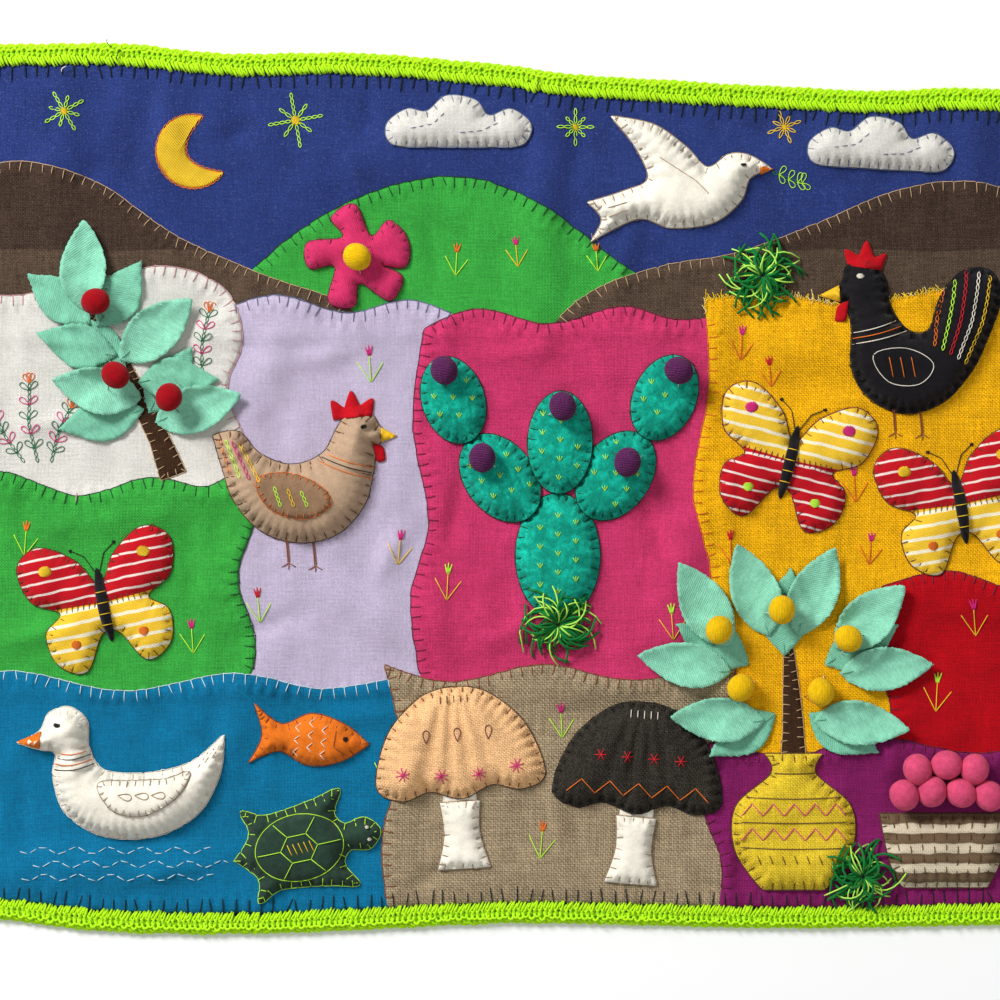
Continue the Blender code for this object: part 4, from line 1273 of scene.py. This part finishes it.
def puff(name, thread, pitch=0.0048, leg=0.0036, paint=None, **how):
    """One of the CAD's stuffed pieces, with its blanket stitches."""
    row = PUFFS[name]
    outline = placed(smooth(row.outline), row.x, row.y, row.degrees)
    outline = stuffed(name + "_cloth", outline, row.high, row.soft, paint or row.colour, row.colour, [name],
                      place=(row.x, row.y, row.degrees), pitch=pitch, **how)
    blanket(thread, outline, pitch, leg)
    return outline


def at(name, *points):
    """Places on a stuffed piece, from its own middle, as places on the cloth."""
    row = PUFFS[name]
    return placed(points, row.x, row.y, row.degrees)


def felt(name, outline, thick, paint, slot, cell=0.0016):
    """A small flat piece of felt, sewn on."""
    outline = resampled(outline, 0.0011)
    base = footing(outline, 0, 1)

    def rise(x, y):
        return thick * np.clip(0.55 + rim(outline, x, y)[0] / 0.0018, 0, 1)

    flat, faces = fill(outline, cell)
    low = sample(base, *flat.T) + 0.00003
    obj = show(name, closed(name, flat, faces, low, low + rise(*flat.T)), paint, slot)
    lay(outline, base, rise)
    wide, tall = outline.max(axis=0) - outline.min(axis=0)
    if min(wide, tall) > 0.0101 and abs(polygon_area(outline)) >= 0.3 * wide * tall:
        declare_sheet(outline)
    return outline


def eye(name, spot, wide=0.003, tall=0.0016, degrees=0.0, colour="black"):
    """A small satin-stitched dot on a stuffed piece."""
    dot = placed(ellipse(wide, tall, 20), *at(name, spot)[0], degrees)
    satin(colour, dot, degrees, 0.00036, THREAD * 0.9, 0.0003)


def rays(colour, x, y, turns, long, radius=THREAD, both=False):
    """Straight stitches out of a spot, or through it."""
    for turn in turns:
        c, s = heading(turn)
        stitch(colour, (x - long * c, y - long * s) if both else (x, y), (x + long * c, y + long * s), radius)


def legs(name, spots, colour="rust", long=0.011):
    """Two embroidered bird's legs with three toes each."""
    for x, y in spots:
        (ax, ay), (bx, by) = at(name, (x, y), (x + 0.001, y - long))
        for side in (-0.00035, 0.00035):
            stitch(colour, (ax + side, ay), (bx + side, by), THREAD * 1.2)
        for turn in (-140, -90, -40):
            c, s = heading(turn)
            stitch(colour, (bx, by), (bx + 0.0042 * c, by + 0.003 * s), THREAD * 1.2)


def clouds():
    for name in ("cloud_left", "cloud_right"):
        puff(name, "slate", 0.0046, 0.003, "white_cotton")
        for line in (shape("-22,-2 -12,0 -6,6"), shape("0,-4 10,-3 18,1")):
            running("slate", at(name, *line), 0.0024, 0.0014, THREAD * 0.9)


def dove():
    groove = at("dove", *shape("-10,16 -2,10 6,4 12,-3"))

    def feathers(x, y):
        d = np.min([np.hypot(x - gx, y - gy) for gx, gy in dense(groove, 40)], axis=0)
        return -0.0011 * np.exp(-((d / 0.0014) ** 2))

    puff("dove", "sand", 0.0044, 0.003, extra=feathers)
    laid_thread("sand", groove, THREAD)
    eye("dove", (0.028, 0.0095), 0.0026, 0.0016)
    beak("dove", "35.5,8.8 41.8,7.2 35.5,4.8", "orange_felt")
    for line in (shape("-34,-5.5 -25,-3.5"), shape("-34,-9.5 -25,-7")):
        stitch("sand", *at("dove", *line))
    chain("leaf_green", at("dove", *shape("41,6 48,2 54,0")), 0.0028)
    for k, spot in enumerate(shape("44,4.5 48,2 52,0.5 54,0")):
        for turn in (50, -60):
            daisy("lime", *at("dove", spot)[0], turn + 8 * k, 0.0045)


def daisy(colour, x, y, degrees, long=0.005, wide=0.0011, radius=THREAD):
    """One lazy-daisy petal: a loop held at its tip."""
    share = np.linspace(0, 1, 13)
    loop = np.c_[long * np.sin(math.pi * share), wide * np.sin(2 * math.pi * share)]
    thread(colour, placed(loop, x, y, degrees), radius, radius)


def comb(name, points, label):
    """A comb or wattle of red felt, with every second point sharp."""
    outline = [(*p, SHARP) if k % 2 == 0 else tuple(p) for k, p in enumerate(at(name, *shape(points)))]
    return felt(f"{name}_{label}", smooth(outline, 5), 0.0014, "red_felt", "red")


def beak(name, points, paint):
    """A three-cornered felt beak."""
    felt(name + "_beak", at(name, *shape(points)), 0.0014, paint, PUFFS[name].colour, 0.001)


def bands(name, ends, colours, bow=0.002):
    """Coloured threads wrapped across a stuffed piece, between pairs of ends."""
    ends = np.array(shape(ends)).reshape(-1, 2, 2)
    share = np.linspace(0, 1, 14)[:, None]
    for (a, b), colour in zip(ends, colours):
        way = (b - a) / np.linalg.norm(b - a)
        line = a + (b - a) * share + np.array([-way[1], way[0]]) * bow * np.sin(math.pi * share)
        laid_thread(colour, at(name, *line), THREAD * 1.15, 26)


def hen():
    puff("hen", "brown", 0.0046, 0.004)
    comb("hen", "13,27 12,36 18,32.5 21,40.5 25,33.5 31,37 30.5,29 22,28", "comb")
    comb("hen", "31,16.5 35.5,15 36.5,9 32.5,8.5", "wattle")
    wing = smooth(at("hen", *shape("-20,1 -6,3 8,-3 12,-11 2,-17 -11,-15 -19,-8")), 5)
    wing = felt("hen_wing", wing, 0.0016, "taupe_dark", "taupe")
    blanket("orange", wing, 0.0034, 0.002, radius=THREAD * 0.9)
    for k in range(3):
        a, b = at("hen", (-0.013 + 0.006 * k, -0.003 - 0.001 * k), (-0.01 + 0.006 * k, -0.012))
        chain("gold" if k % 2 else "lime", [a, b], 0.0026)
    eye("hen", (0.0268, 0.024), 0.0032, 0.0019, 10)
    beak("hen", "34.5,23.8 41.8,20 34.5,16.9", "gold_felt")
    bands("hen", "8.5,12.5 32.5,5.5 7.8,10.5 32,3 7,8.5 31.5,0.5", ["orange", "black", "orange"], -0.001)
    for k, colour in enumerate(("orange", "lime", "magenta", "gold")):
        a, b = at("hen", (-0.038 + 0.003 * k, 0.0185 - 0.0005 * k), (-0.033 + 0.0045 * k, 0.002 - 0.001 * k))
        chain(colour, [a, b], 0.003)
    legs("hen", [(-0.008, -0.0262), (0.004, -0.0275)])


def duck():
    puff("duck", "cream", 0.0044, 0.0034)
    wing = smooth(at("duck", *shape("-10,0 6,1 20,2 31,5 25,-6 11,-14 -3,-12")), 5)
    wing = felt("duck_wing", wing, 0.0018, "cream", "cream")
    blanket("sand", wing, 0.0036, 0.0022, radius=THREAD * 0.9)
    for k in range(3):
        daisy("sand", *at("duck", (-0.001 + 0.0075 * k, -0.005))[0], -12 + 6 * k, 0.0062, 0.0015)
    eye("duck", (-0.0285, 0.0262), 0.0034, 0.002, -8)
    beak("duck", "-36.2,23.2 -47.8,18.2 -36.5,15", "orange_felt")
    bands("duck", "-30,13.5 -14,15 -30.5,11 -13.5,13 -30.8,8.5 -12.8,10.8 -31.2,6 -11.8,8.8",
          ["orange", "black", "orange", "black"], -0.0012)
    for k in range(3):
        a, b = at("duck", (0.0445 - 0.003 * k, 0.0175 - 0.002 * k), (0.0405 - 0.003 * k, 0.011 - 0.002 * k))
        stitch("sand", a, b)
    for level, shift in ((-0.1625, 0.0), (-0.1685, 0.006), (-0.1745, 0.001)):
        xs = np.linspace(-0.216, -0.128, 60)
        running("pale", np.c_[xs + shift, level + 0.0016 * np.sin(xs * 420)], 0.0034, 0.0014)


def rooster():
    puff("rooster", "black", 0.0048, 0.0038)
    comb("rooster", "-8.5,36.5 -6,44 -11.5,42 -15,50 -18.5,43 -25,46 -23.5,38.5 -16,37", "comb")
    comb("rooster", "-23.5,22.5 -28,20.5 -29.5,13.5 -24.5,14", "wattle")
    eye("rooster", (-0.0185, 0.0335), 0.0034, 0.0022, 0, "cream")
    eye("rooster", (-0.0185, 0.0335), 0.0014, 0.0012)
    beak("rooster", "-27.5,29.8 -36.8,25 -27,22.1", "gold_felt")
    bands("rooster", "-22.5,8 -1.5,14 -22.5,5.5 1,11.5 -22.2,3 3,9.2", ["cream", "orange", "cream"], -0.001)
    for k, colour in enumerate(("orange", "lime", "scarlet", "cream", "gold")):
        a = (0.0195 + 0.0052 * k, 0.0275 + 0.0048 * min(k, 2) - 0.0015 * max(0, k - 2))
        b, c = (0.0165 + 0.005 * k, 0.015 - 0.0005 * k), (0.0145 + 0.0035 * k, 0.002 - 0.002 * k)
        chain(colour, dense(at("rooster", a, b, c), 12), 0.003, THREAD)
    ring = smooth(at("rooster", *shape("-13,-2 2,1 14,-6 8,-15 -6,-14")), 5)
    laid_thread("cream", np.vstack([ring, ring[:1]]), THREAD, 70)
    for k in range(3):
        stitch("orange", *at("rooster", (-0.006 + 0.005 * k, -0.003), (-0.004 + 0.005 * k, -0.012)))
    legs("rooster", [(-0.003, -0.0255), (0.009, -0.0262)])


def fish():
    puff("fish", "rust", 0.0042, 0.0028, "orange_felt", seam=0.0013)
    eye("fish", (0.0165, 0.0025), 0.0024, 0.0022)
    for column in range(3):
        for row in range(-1, 2):
            x, y = 0.008 - 0.006 * column, 0.0055 * row + (0.0027 if column % 2 else 0)
            for hand in (1, -1):
                stitch("cream", *at("fish", (x, y + 0.0022 * hand), (x - 0.0024, y)))
    laid_thread("rust", at("fish", *shape("19.5,-6 11.5,-1.5 12,6")), THREAD)


def butterflies():
    for name in ("butterfly_left", "butterfly_middle", "butterfly_right"):
        row = PUFFS[name]
        yellow = row.colour == "yellow_stripe"

        def veins(x, y, row=row):
            px, py = local(row, x, y)
            px = np.abs(px)
            return -0.0014 * np.exp(-((py - 0.001 - 0.05 * px) / 0.0016) ** 2) * np.clip(px / 0.006, 0, 1)

        edge_thread = "wine" if yellow else "brown"
        puff(name, edge_thread, 0.0044, 0.003, extra=veins, seam=0.0014)
        for hand in (1, -1):
            for k in range(7):
                stitch(edge_thread, *at(name, ((0.0034 + 0.0026 * k) * hand, 0.003),
                                        ((0.004 + 0.0026 * k) * hand, -0.0006)))
            upper, lower = at(name, (0.0225 * hand, 0.02), (0.0155 * hand, -0.015))
            satin("magenta" if yellow else "gold", placed(ellipse(0.006, 0.0048, 18), *upper), 20 * hand)
            satin("lime" if yellow else "orange", placed(ellipse(0.0046, 0.004, 16), *lower), 0)
            feeler = at(name, (0.001 * hand, 0.015), (0.0045 * hand, 0.023), (0.0095 * hand, 0.0265))
            laid_thread("black", feeler, THREAD * 1.1)
            eye(name, (0.01 * hand, 0.0268), 0.0018, 0.0016)
        body = placed(ellipse(0.034, 0.0052, 40), row.x, row.y, row.degrees + 90)
        stuffed(name + "_body", body, 0.0026, 0.0024, "black", "black", cell=0.0013, edge=0.0006,
                fill_share=0.8, seam=0.0003, lumps=0.0002)
        for level in (-0.009, -0.004, 0.001, 0.006):
            stitch("gold", *at(name, (-0.0024, level), (0.0024, level)))


def mushrooms():
    for kind, thread_colour, top_colour in (("peach", "brown", "brown"), ("grey", "black", "cream")):
        stem_name, cap_name = "mushroom_stem_" + kind, "mushroom_cap_" + kind
        top = max(y for _, y, *_ in PUFFS[stem_name].outline)
        corners = ((-0.0078, top - 0.002), (0.0078, top - 0.002), (0.0074, top + 0.0065),
                   (-0.0074, top + 0.0065))
        felt(stem_name + "_tab", at(stem_name, *corners), 0.0012, "cream", "cream", 0.0014)
        puff(stem_name, "sand", 0.0044, 0.0028, seam=0.0013)

        def pleats(x, y, row=PUFFS[cap_name]):
            px, py = local(row, x, y)
            fan, drop = np.arctan2(px, 0.04 - py), np.clip((0.024 - py) / 0.046, 0, 1)
            deep = 0.35 + 0.9 * np.sin(math.pi * drop) * (1 - 0.5 * drop)
            return 0.00085 * np.cos(fan * 26 + 2.2 * np.sin(fan * 5)) * deep

        puff(cap_name, thread_colour, 0.0048, 0.0026, extra=pleats, cell=0.0014)
        for k in range(5):
            stitch(top_colour, *at(cap_name, (-0.006 + 0.003 * k, 0.0225), (-0.006 + 0.003 * k, 0.019)))
        if kind == "peach":
            for k in range(4):
                spot = at(cap_name, (-0.0255 + 0.017 * k, -0.0125 + 0.0015 * math.cos(k * 2)))[0]
                rays("magenta", *spot, (15, 60, 105, 150), 0.0034, THREAD * 1.1, True)
            for k in range(3):
                daisy("wine", *at(cap_name, (-0.014 + 0.014 * k, 0.002))[0], 90, 0.006, 0.0015)
        else:
            zigzag(cap_name, "orange", -0.032, 0.0064, -0.013, 0.003)
            for k in range(4):
                spot = at(cap_name, (-0.018 + 0.012 * k, 0.0015))[0]
                rays("scarlet", *spot, (0, 60, 120), 0.0028, THREAD * 1.1, True)


def zigzag(name, colour, start, step, level, tall):
    """Ten stitches up and down across a stuffed piece."""
    zig = at(name, *[(start + step * k, level + (tall if k % 2 else -tall)) for k in range(11)])
    for a, b in zip(zig, zig[1:]):
        stitch(colour, a, b, THREAD * 1.1)


def jar():
    def belly(x, y):
        py = y - PUFFS["jar"].y
        neck, foot = np.exp(-(((py - 0.0225) / 0.0014) ** 2)), np.exp(-(((py + 0.019) / 0.0012) ** 2))
        return -0.0009 * neck - 0.0006 * foot

    puff("jar", "brown", 0.0048, 0.0036, extra=belly)
    for level in (0.006, -0.005):
        zigzag("jar", "magenta", -0.0235, 0.0047, level, 0.0028)
    for level in (0.0115, 0.0005, -0.011):
        band = at("jar", (-0.024, level), (0.0, level - 0.0006), (0.024, level))
        laid_thread("brown", band, THREAD * 1.1, 30)
    laid_thread("brown", at("jar", (-0.0112, 0.0222), (0.0112, 0.0222)), THREAD * 1.2)
    for k in range(7):
        x = -0.0165 + 0.0055 * k
        stitch("brown", *at("jar", (x, -0.0145), (x + 0.0015, -0.0185)))


def basket():
    def slats(x, y):
        return 0.00035 * np.cos((y - PUFFS["basket"].y) * 2 * math.pi / 0.0044)

    puff("basket", "brown", 0.0048, 0.0032, extra=slats, cell=0.0014)
    for k in range(9):
        x = -0.0235 + 0.0059 * k
        line = dense(at("basket", (x, 0.0125), (x * 0.78, -0.0135)), 8)
        running("brown", line, 0.003, 0.0022, THREAD * 1.1)


def turtle():
    def shell(x, y):
        px, py = local(PUFFS["turtle"], x, y)
        ring = np.sqrt((px / 0.02) ** 2 + (py / 0.015) ** 2)
        return -0.0014 * np.exp(-(((ring - 1) / 0.09) ** 2)) + 0.0008 * (ring < 1) * (1 - ring**2)

    puff("turtle", "lime", 0.0046, 0.0028, extra=shell, seam=0.0013)
    ring = at("turtle", *ellipse(0.04, 0.03, 60))
    laid_thread("lime", np.vstack([ring, ring[:1]]), THREAD, 90)
    for k in range(6):
        a, b = math.pi / 3 * k, math.pi / 3 * (k + 1)
        inner = [(0.0085 * math.cos(a), 0.0068 * math.sin(a)), (0.0085 * math.cos(b), 0.0068 * math.sin(b))]
        stitch("lime", *at("turtle", *inner))
        stitch("lime", *at("turtle", inner[0], (0.019 * math.cos(a), 0.0142 * math.sin(a))))
    for k in range(5):
        x = -0.005 + 0.0025 * k
        stitch("gold", *at("turtle", (x, 0.0025), (x + 0.0012, -0.0025)))
    for hand in (1, -1):
        eye("turtle", (0.0315, 0.0028 * hand), 0.0018, 0.0014, 0, "cream")


def flower():
    puff("flower", "wine", 0.0046, 0.002, "pink", edge=0.0016, seam=0.0008)


def cactus():
    for pad in CACTUS_PADS:
        outline = placed(ellipse(pad.long, pad.wide, 56), pad.x, pad.y, pad.degrees)
        outline = stuffed(pad.name + "_cloth", outline, pad.high, pad.wide * 0.35, "teal", "teal", [pad.name],
                          widen=2, soften=4, pitch=0.0048, place=(pad.x, pad.y, pad.degrees), lumps=0.0006)
        blanket("forest", outline, 0.0048, 0.0032)
        for row in (-1, 0, 1):
            for column in range(-2, 3):
                px, py = column * 0.0085 + row * 0.003, row * 0.008
                if (px / (pad.long / 2 - 0.005)) ** 2 + (py / (pad.wide / 2 - 0.004)) ** 2 < 1:
                    x, y = placed([(px, py)], pad.x, pad.y, pad.degrees)[0]
                    if abs(surface(x, y) - surface(x + 0.002, y)) <= 0.0015:
                        rays("lime", x, y, (60, 90, 120), 0.0026, THREAD * 0.8)


# Leaves, balls, tufts, stems


def leaf(row, under=False):
    """A cut jersey leaf, cupped along its midrib, curling unevenly and lifted at its tip."""
    seed = sum(map(ord, row.name))
    rng = np.random.default_rng(seed)
    outline = leaf_outline(row.long, row.wide, point=1.15 if under else 0.85)
    bend = rng.uniform(-0.1, 0.1)
    outline = np.c_[outline[:, 0], outline[:, 1] + bend * outline[:, 0] * (outline[:, 0] / row.long)]
    outline = resampled(placed(outline, row.x, row.y, row.degrees), 0.0009)
    outline = outline + 0.00016 * rng.normal(size=outline.shape)
    base = footing(outline, 1, 3)
    cup, tip = (0.0011, 0.001) if under else (0.0038, 0.004)
    curl, phase = rng.uniform(0.4, 1.0), rng.uniform(0, 6.3)

    def rise(x, y):
        along, across = local(row, x, y)
        along = along / row.long
        across = (across - bend * row.long * along**2) / (row.wide / 2)
        soft = np.clip(along / 0.2, 0, 1)
        rise = cup * across**2 * (1 + 0.45 * curl * np.sin(5 * along + phase) * np.sign(across))
        rise = rise + tip * np.clip(along - 0.5, 0, None) ** 2 / 0.25
        rise = rise + 0.001 * curl * np.sin(9 * along + 2.5 * across + phase) * np.abs(across)
        rise = rise + 0.0009 * np.exp(-((across - 0.25 * np.sin(4 * along + phase)) / 0.16) ** 2) * along
        rise = rise + 0.0005 * ripple(x, y, seed, 0.011)
        return np.maximum(rise * soft, 0) + LOOSE

    flat, faces = fill(outline, 0.0017)
    low = sample(base, *flat.T) + rise(*flat.T)
    mesh = closed(row.name, flat, faces, low, low + LEAF_THICK)
    # Leaves under the others take the darker copy of the mint jersey, as painted shade.
    if under:
        obj = show(row.name, mesh, "mint_deep", "mint")
    else:
        obj = show(row.name + "_cloth", mesh, "mint", "mint", [row.name])
    lay(outline, base, rise, LEAF_THICK, highest=True)
    settle(obj, row.x, row.y, row.degrees + 28)
    area = min(abs(polygon_area(outline)), row.long * row.wide)
    stitch("sea", *placed([(0.001, 0.0), (0.006, 0.0005)], row.x, row.y, row.degrees))


def seat(x, y, radius, flattening):
    """The height of a ball's middle when it just clears all that lies under it."""
    share, turn = np.meshgrid(np.arange(11) / 11, 2 * math.pi * np.arange(24) / 24)
    px, py = x + share * radius * np.cos(turn), y + share * radius * np.sin(turn)
    return float((surface(px, py) + flattening * radius * np.sqrt(1 - share**2)).max())


def ball_object(name, points, faces, paint, slot, node):
    """A stuffed ball, or a heap of them, as an object."""
    mesh = bpy.data.meshes.new(name)
    mesh.from_pydata(points.tolist(), [], faces)
    weld(mesh)
    obj = show(name, mesh, paint, slot, [node])
    return obj


def round_mesh(x, y, z, radius, flattening, seed, wound=False, columns=28, rows=20):
    """The points and faces of a stuffed or wound ball with an uneven skin."""
    rng = np.random.default_rng(seed)
    tilt = rng.uniform(-0.7, 0.7, 2)
    polar = np.repeat(math.pi * np.arange(rows + 1) / rows, columns)
    turn = np.tile(2 * math.pi * np.arange(columns) / columns, rows + 1)
    p = np.c_[np.sin(polar) * np.cos(turn), np.sin(polar) * np.sin(turn), np.cos(polar)]
    lumps = ripple(p[:, 0] + 3 * p[:, 2], p[:, 1] - 2 * p[:, 2], seed, 1.9)
    egg = 0.05 * np.cos(2 * (np.arctan2(p[:, 1], p[:, 0]) - rng.uniform(0, math.pi))) * (1 - p[:, 2] ** 2)
    size = radius * (0.985 + 0.03 * lumps + egg)
    if wound:
        axis = np.array([tilt[0], tilt[1], 0.55])
        size = size + radius * 0.026 * np.cos((p @ axis) / np.linalg.norm(axis) * 36)
    p = p * size[:, None] * (1, 1, flattening) + (x, y, z)
    faces = []
    for j in range(rows):
        for i in range(columns):
            n = (i + 1) % columns
            faces.append([j * columns + i, (j + 1) * columns + i, (j + 1) * columns + n, j * columns + n])
    return p, faces


def ball(row):
    height = seat(row.x, row.y, BALL_RADIUS, BALL_FLATTENING) + LOOSE
    seed = sum(map(ord, row.name))
    wound = row.colour == "purple"
    points, faces = round_mesh(row.x, row.y, height, BALL_RADIUS, BALL_FLATTENING, seed, wound,
                               *((48, 40) if wound else (32, 22)))
    obj = ball_object(row.name + "_cloth", points, faces, "ball_" + row.colour, row.colour, row.name)
    for k in range(3):
        way = np.array([math.cos(2.1 * k + seed), math.sin(2.1 * k + seed)])
        a = [*((row.x, row.y) + 0.0058 * way), height - 0.0014]
        foot = (row.x, row.y) + 0.0075 * way
        b = [*foot, float(surface(*foot))]
        SEWING["cream" if k == 0 else "brown"].add(np.linspace(a, b, 4), THREAD * 0.9)
    settle(obj, row.x, row.y, seed % 180)


def weld(mesh):
    """Joins the doubled points at a ball's two poles."""
    body = bmesh.new()
    body.from_mesh(mesh)
    bmesh.ops.remove_doubles(body, verts=body.verts[:], dist=1e-6)
    bmesh.ops.dissolve_degenerate(body, edges=body.edges[:], dist=1e-7)
    bmesh.ops.recalc_face_normals(body, faces=body.faces[:])
    body.to_mesh(mesh)
    body.free()


def basket_heap():
    radius = BALL_RADIUS * 1.1
    places = [(PUFFS["basket"].x + dx, PUFFS["basket"].y + dy) for dx, dy in HEAP]
    height = max(seat(x, y, radius, 1.0) for x, y in places)
    points, faces = zip(*(round_mesh(x, y, height, radius, 0.96, 500 + k) for k, (x, y) in enumerate(places)))
    joined = [[k * len(points[0]) + m for m in face] for k, part in enumerate(faces) for face in part]
    ball_object("basket_heap", np.vstack(points), joined, "ball_pink", "pink", "basket_balls")


def tuft(row):
    """Cut yarn sewn down in its middle: many dark green strands, and some thin lime ones."""
    rng = np.random.default_rng(sum(map(ord, row.name)))
    base = float(surface(row.x, row.y))
    dark, lime = Bundle(), Bundle()
    for k in range(84):
        bright = k % 3 == 2
        turn = rng.uniform(0, 2 * math.pi)
        tall = rng.uniform(0.0008, 0.0062)
        reach = row.reach * rng.uniform(0.5, 1.02) * (1.0 if tall < 0.0035 else 0.82)
        bend = rng.normal(0, 0.75)
        share = np.linspace(0, 1, 9)
        way = turn + bend * share**2
        x = row.x + (0.0008 + (reach - 0.0008) * share) * np.cos(way)
        y = row.y + (0.0008 + (reach - 0.0008) * share) * np.sin(way)
        floor = surface(x, y) + 0.0005
        arch = tall * np.sin(math.pi * np.clip(share * 0.95, 0, 1)) ** 0.8
        z = np.maximum(floor, (base + 0.002) * (1 - share) + floor * share) + arch
        thick = (0.0004 if bright else 0.00062) * (1 - 0.12 * share)
        (lime if bright else dark).add(np.c_[x, y, z], thick, 5)
    dark.object(row.name + "_dark", "grass_dark", "grass", [row.name])
    lime.object(row.name + "_lime", "grass_lime", "grass")


def stem(name, line, widths):
    """A strip of brown cloth, blanket-stitched in tan."""
    outline = felt(name, ribbon(line, widths), 0.0007, "trunk_brown", "ground")
    blanket("tan", outline, 0.0042, 0.0026)


# Embroidery


def tulip(x, y, tall=0.016, turn=0.0, stem_colour="lime", bloom="magenta"):
    """A small straight-stitch flower: a stem, two leaves and a bloom."""
    def spot(dx, dy):
        c, s = heading(turn)
        return x + dx * c - dy * s, y + dx * s + dy * c

    thin = THREAD * 1.1
    stitch(stem_colour, spot(0, 0), spot(0, tall * 0.72), thin)
    stitch(stem_colour, spot(0, 0), spot(-tall * 0.34, tall * 0.58), thin)
    stitch(stem_colour, spot(0, 0), spot(tall * 0.36, tall * 0.52), thin)
    for dx, top in ((-0.0015, 0.95), (-0.0007, 0.88), (0.0, 0.99), (0.0007, 0.88), (0.0016, 0.97)):
        stitch(bloom, spot(dx * 0.3, tall * 0.7), spot(dx, tall * top), THREAD * 1.35)


def star(x, y, radius, colour="lime", rays=8, turn=0.0):
    """A star of chain-stitched rays."""
    for k in range(rays):
        way = math.radians(turn) + 2 * math.pi * k / rays
        inner = radius * 0.16
        a = (x + inner * math.cos(way), y + inner * math.sin(way))
        long = radius * (1.0 if k % 2 == 0 else 0.72)
        b = (x + long * math.cos(way), y + long * math.sin(way))
        chain(colour, [a, b], 0.003, THREAD)
    satin("gold", placed(ellipse(radius * 0.34, radius * 0.34, 16), x, y), 30)


def moon(x, y, radius):
    """A crescent in satin stitch, outlined in orange."""
    turns = np.radians(np.linspace(55, 305, 30))
    outer = list(zip(radius * np.cos(turns), radius * np.sin(turns)))
    ends = outer[-1], outer[0]
    middle = 0.3 * radius
    sweep = np.linspace(-1, 1, 24)[1:-1]
    inner = []
    for t in sweep:
        ay = ends[0][1] + (ends[1][1] - ends[0][1]) * (t + 1) / 2
        bulge = 1 - (ay / ends[1][1]) ** 2
        inner.append((ends[0][0] - middle * 2.6 * bulge, ay))
    outline = placed(outer + inner, x, y, 20)
    satin("gold", outline, 62, 0.00062, THREAD * 1.5, 0.0004)
    chain("orange", np.vstack([outline, outline[:1]]), 0.0028)


def fern(x, y, turn, tall, leaf_colour="leaf_green", bud="magenta"):
    """A stem with pairs of lazy-daisy leaves and a bud."""
    way = math.radians(turn)
    line = [(x, y), (x + tall * 0.5 * math.cos(way + 0.12), y + tall * 0.5 * math.sin(way + 0.12)),
            (x + tall * math.cos(way), y + tall * math.sin(way))]
    line = dense(line, 12)
    chain("leaf_green", line, 0.0026)
    for k in range(2, 11, 2):
        for hand in (1, -1):
            px, py = line[k]
            daisy(leaf_colour if (k // 2) % 2 else bud, px, py, turn + 48 * hand, 0.0052)
    for hand in (-28, 0, 28):
        daisy("orange", line[-1][0], line[-1][1], turn + hand, 0.0046)


def embroidery():
    moon(-0.138, 0.152, 0.0165)
    star(-0.092, 0.166, 0.0125, "lime", 8, 10)
    star(-0.196, 0.17, 0.01, "lime", 8, 30)
    star(0.034, 0.163, 0.0085, "lime", 8, 0)
    star(0.128, 0.163, 0.008, "gold", 8, 20)
    for row in TULIPS:
        tulip(*row)
    for row in FERNS:
        fern(*row)


# Stage


def stage():
    scene = bpy.context.scene
    scene.view_settings.view_transform = "Standard"
    paint = Paint("floor_white", 0.9, 0.0, 0.1)
    speck = paint.range(paint.noise(6.0, 2.0), 0.0, 1.0, 0.93, 0.95)
    paint.finish(paint.node("CombineColor", {0: speck, 1: speck, 2: speck}).outputs[0], speck, 0.0)
    mesh = bpy.data.meshes.new("floor")
    mesh.from_pydata([(-4, -4, 0), (4, -4, 0), (4, 4, 0), (-4, 4, 0)], [], [[0, 1, 2, 3]])
    floor = bpy.data.objects.new("floor", mesh)
    mesh.materials.append(PAINT["floor_white"])
    scene.collection.objects.link(floor)

    world = bpy.data.worlds.new("studio")
    scene.world = world
    world.use_nodes = True
    world.node_tree.nodes["Background"].inputs[0].default_value = (1, 1, 1, 1)
    world.node_tree.nodes["Background"].inputs[1].default_value = 0.4

    def lamp(name, place, size, power):
        data = bpy.data.lights.new(name, "AREA")
        data.shape, data.size, data.energy = "DISK", size, power
        obj = bpy.data.objects.new(name, data)
        obj.location = place
        obj.rotation_euler = (Vector((0, 0, 0)) - Vector(place)).to_track_quat("-Z", "Y").to_euler()
        scene.collection.objects.link(obj)

    lamp("key", (-1.3, 1.25, 1.4), 0.8, 60.0)
    lamp("fill", (1.0, -0.8, 2.4), 2.0, 8.0)

    data = bpy.data.cameras.new("camera")
    camera = bpy.data.objects.new("camera", data)
    data.sensor_width = 36.0
    data.lens = 36.0 * CAMERA_HEIGHT / SHOWN_WIDTH
    data.clip_start, data.clip_end = 0.05, 20.0
    camera.location = (0.0, -0.0049, 1.803)
    scene.collection.objects.link(camera)
    scene.camera = camera


# All of it


def main():
    paints()
    stage()
    cloth, outline = backing()
    outlines = [patch(number, row) for number, row in enumerate(PATCHES, 1)]
    sew_patches(outlines)
    sew_border(outline)
    frayed_edge(outlines[[row.name for row in PATCHES].index("patch_yellow")])
    strips = edgings()
    stem("vine_stem", [(-0.147, 0.006), (-0.153, 0.022), (-0.163, 0.042), (-0.172, 0.06), (-0.185, 0.08)],
         [0.012, 0.009, 0.008, 0.007, 0.004])
    stem("spray_stem", [(0.132, -0.124), (0.132, -0.108), (0.131, -0.09), (0.13, -0.072)],
         [0.011, 0.009, 0.007, 0.004])
    embroidery()
    clouds()
    dove()
    rooster()
    hen()
    duck()
    fish()
    butterflies()
    mushrooms()
    jar()
    basket()
    turtle()
    flower()
    cactus()
    for row in UNDER_LEAVES:
        leaf(row, under=True)
    for row in LEAVES:
        leaf(row)
    for row in BALLS:
        ball(row)
    basket_heap()
    for row in TUFTS:
        tuft(row)
    threads = [bundle.object("sewing_" + colour, "thread_" + colour)
               for colour, bundle in sorted(SEWING.items())]
    declare_sheet(outline)


main()
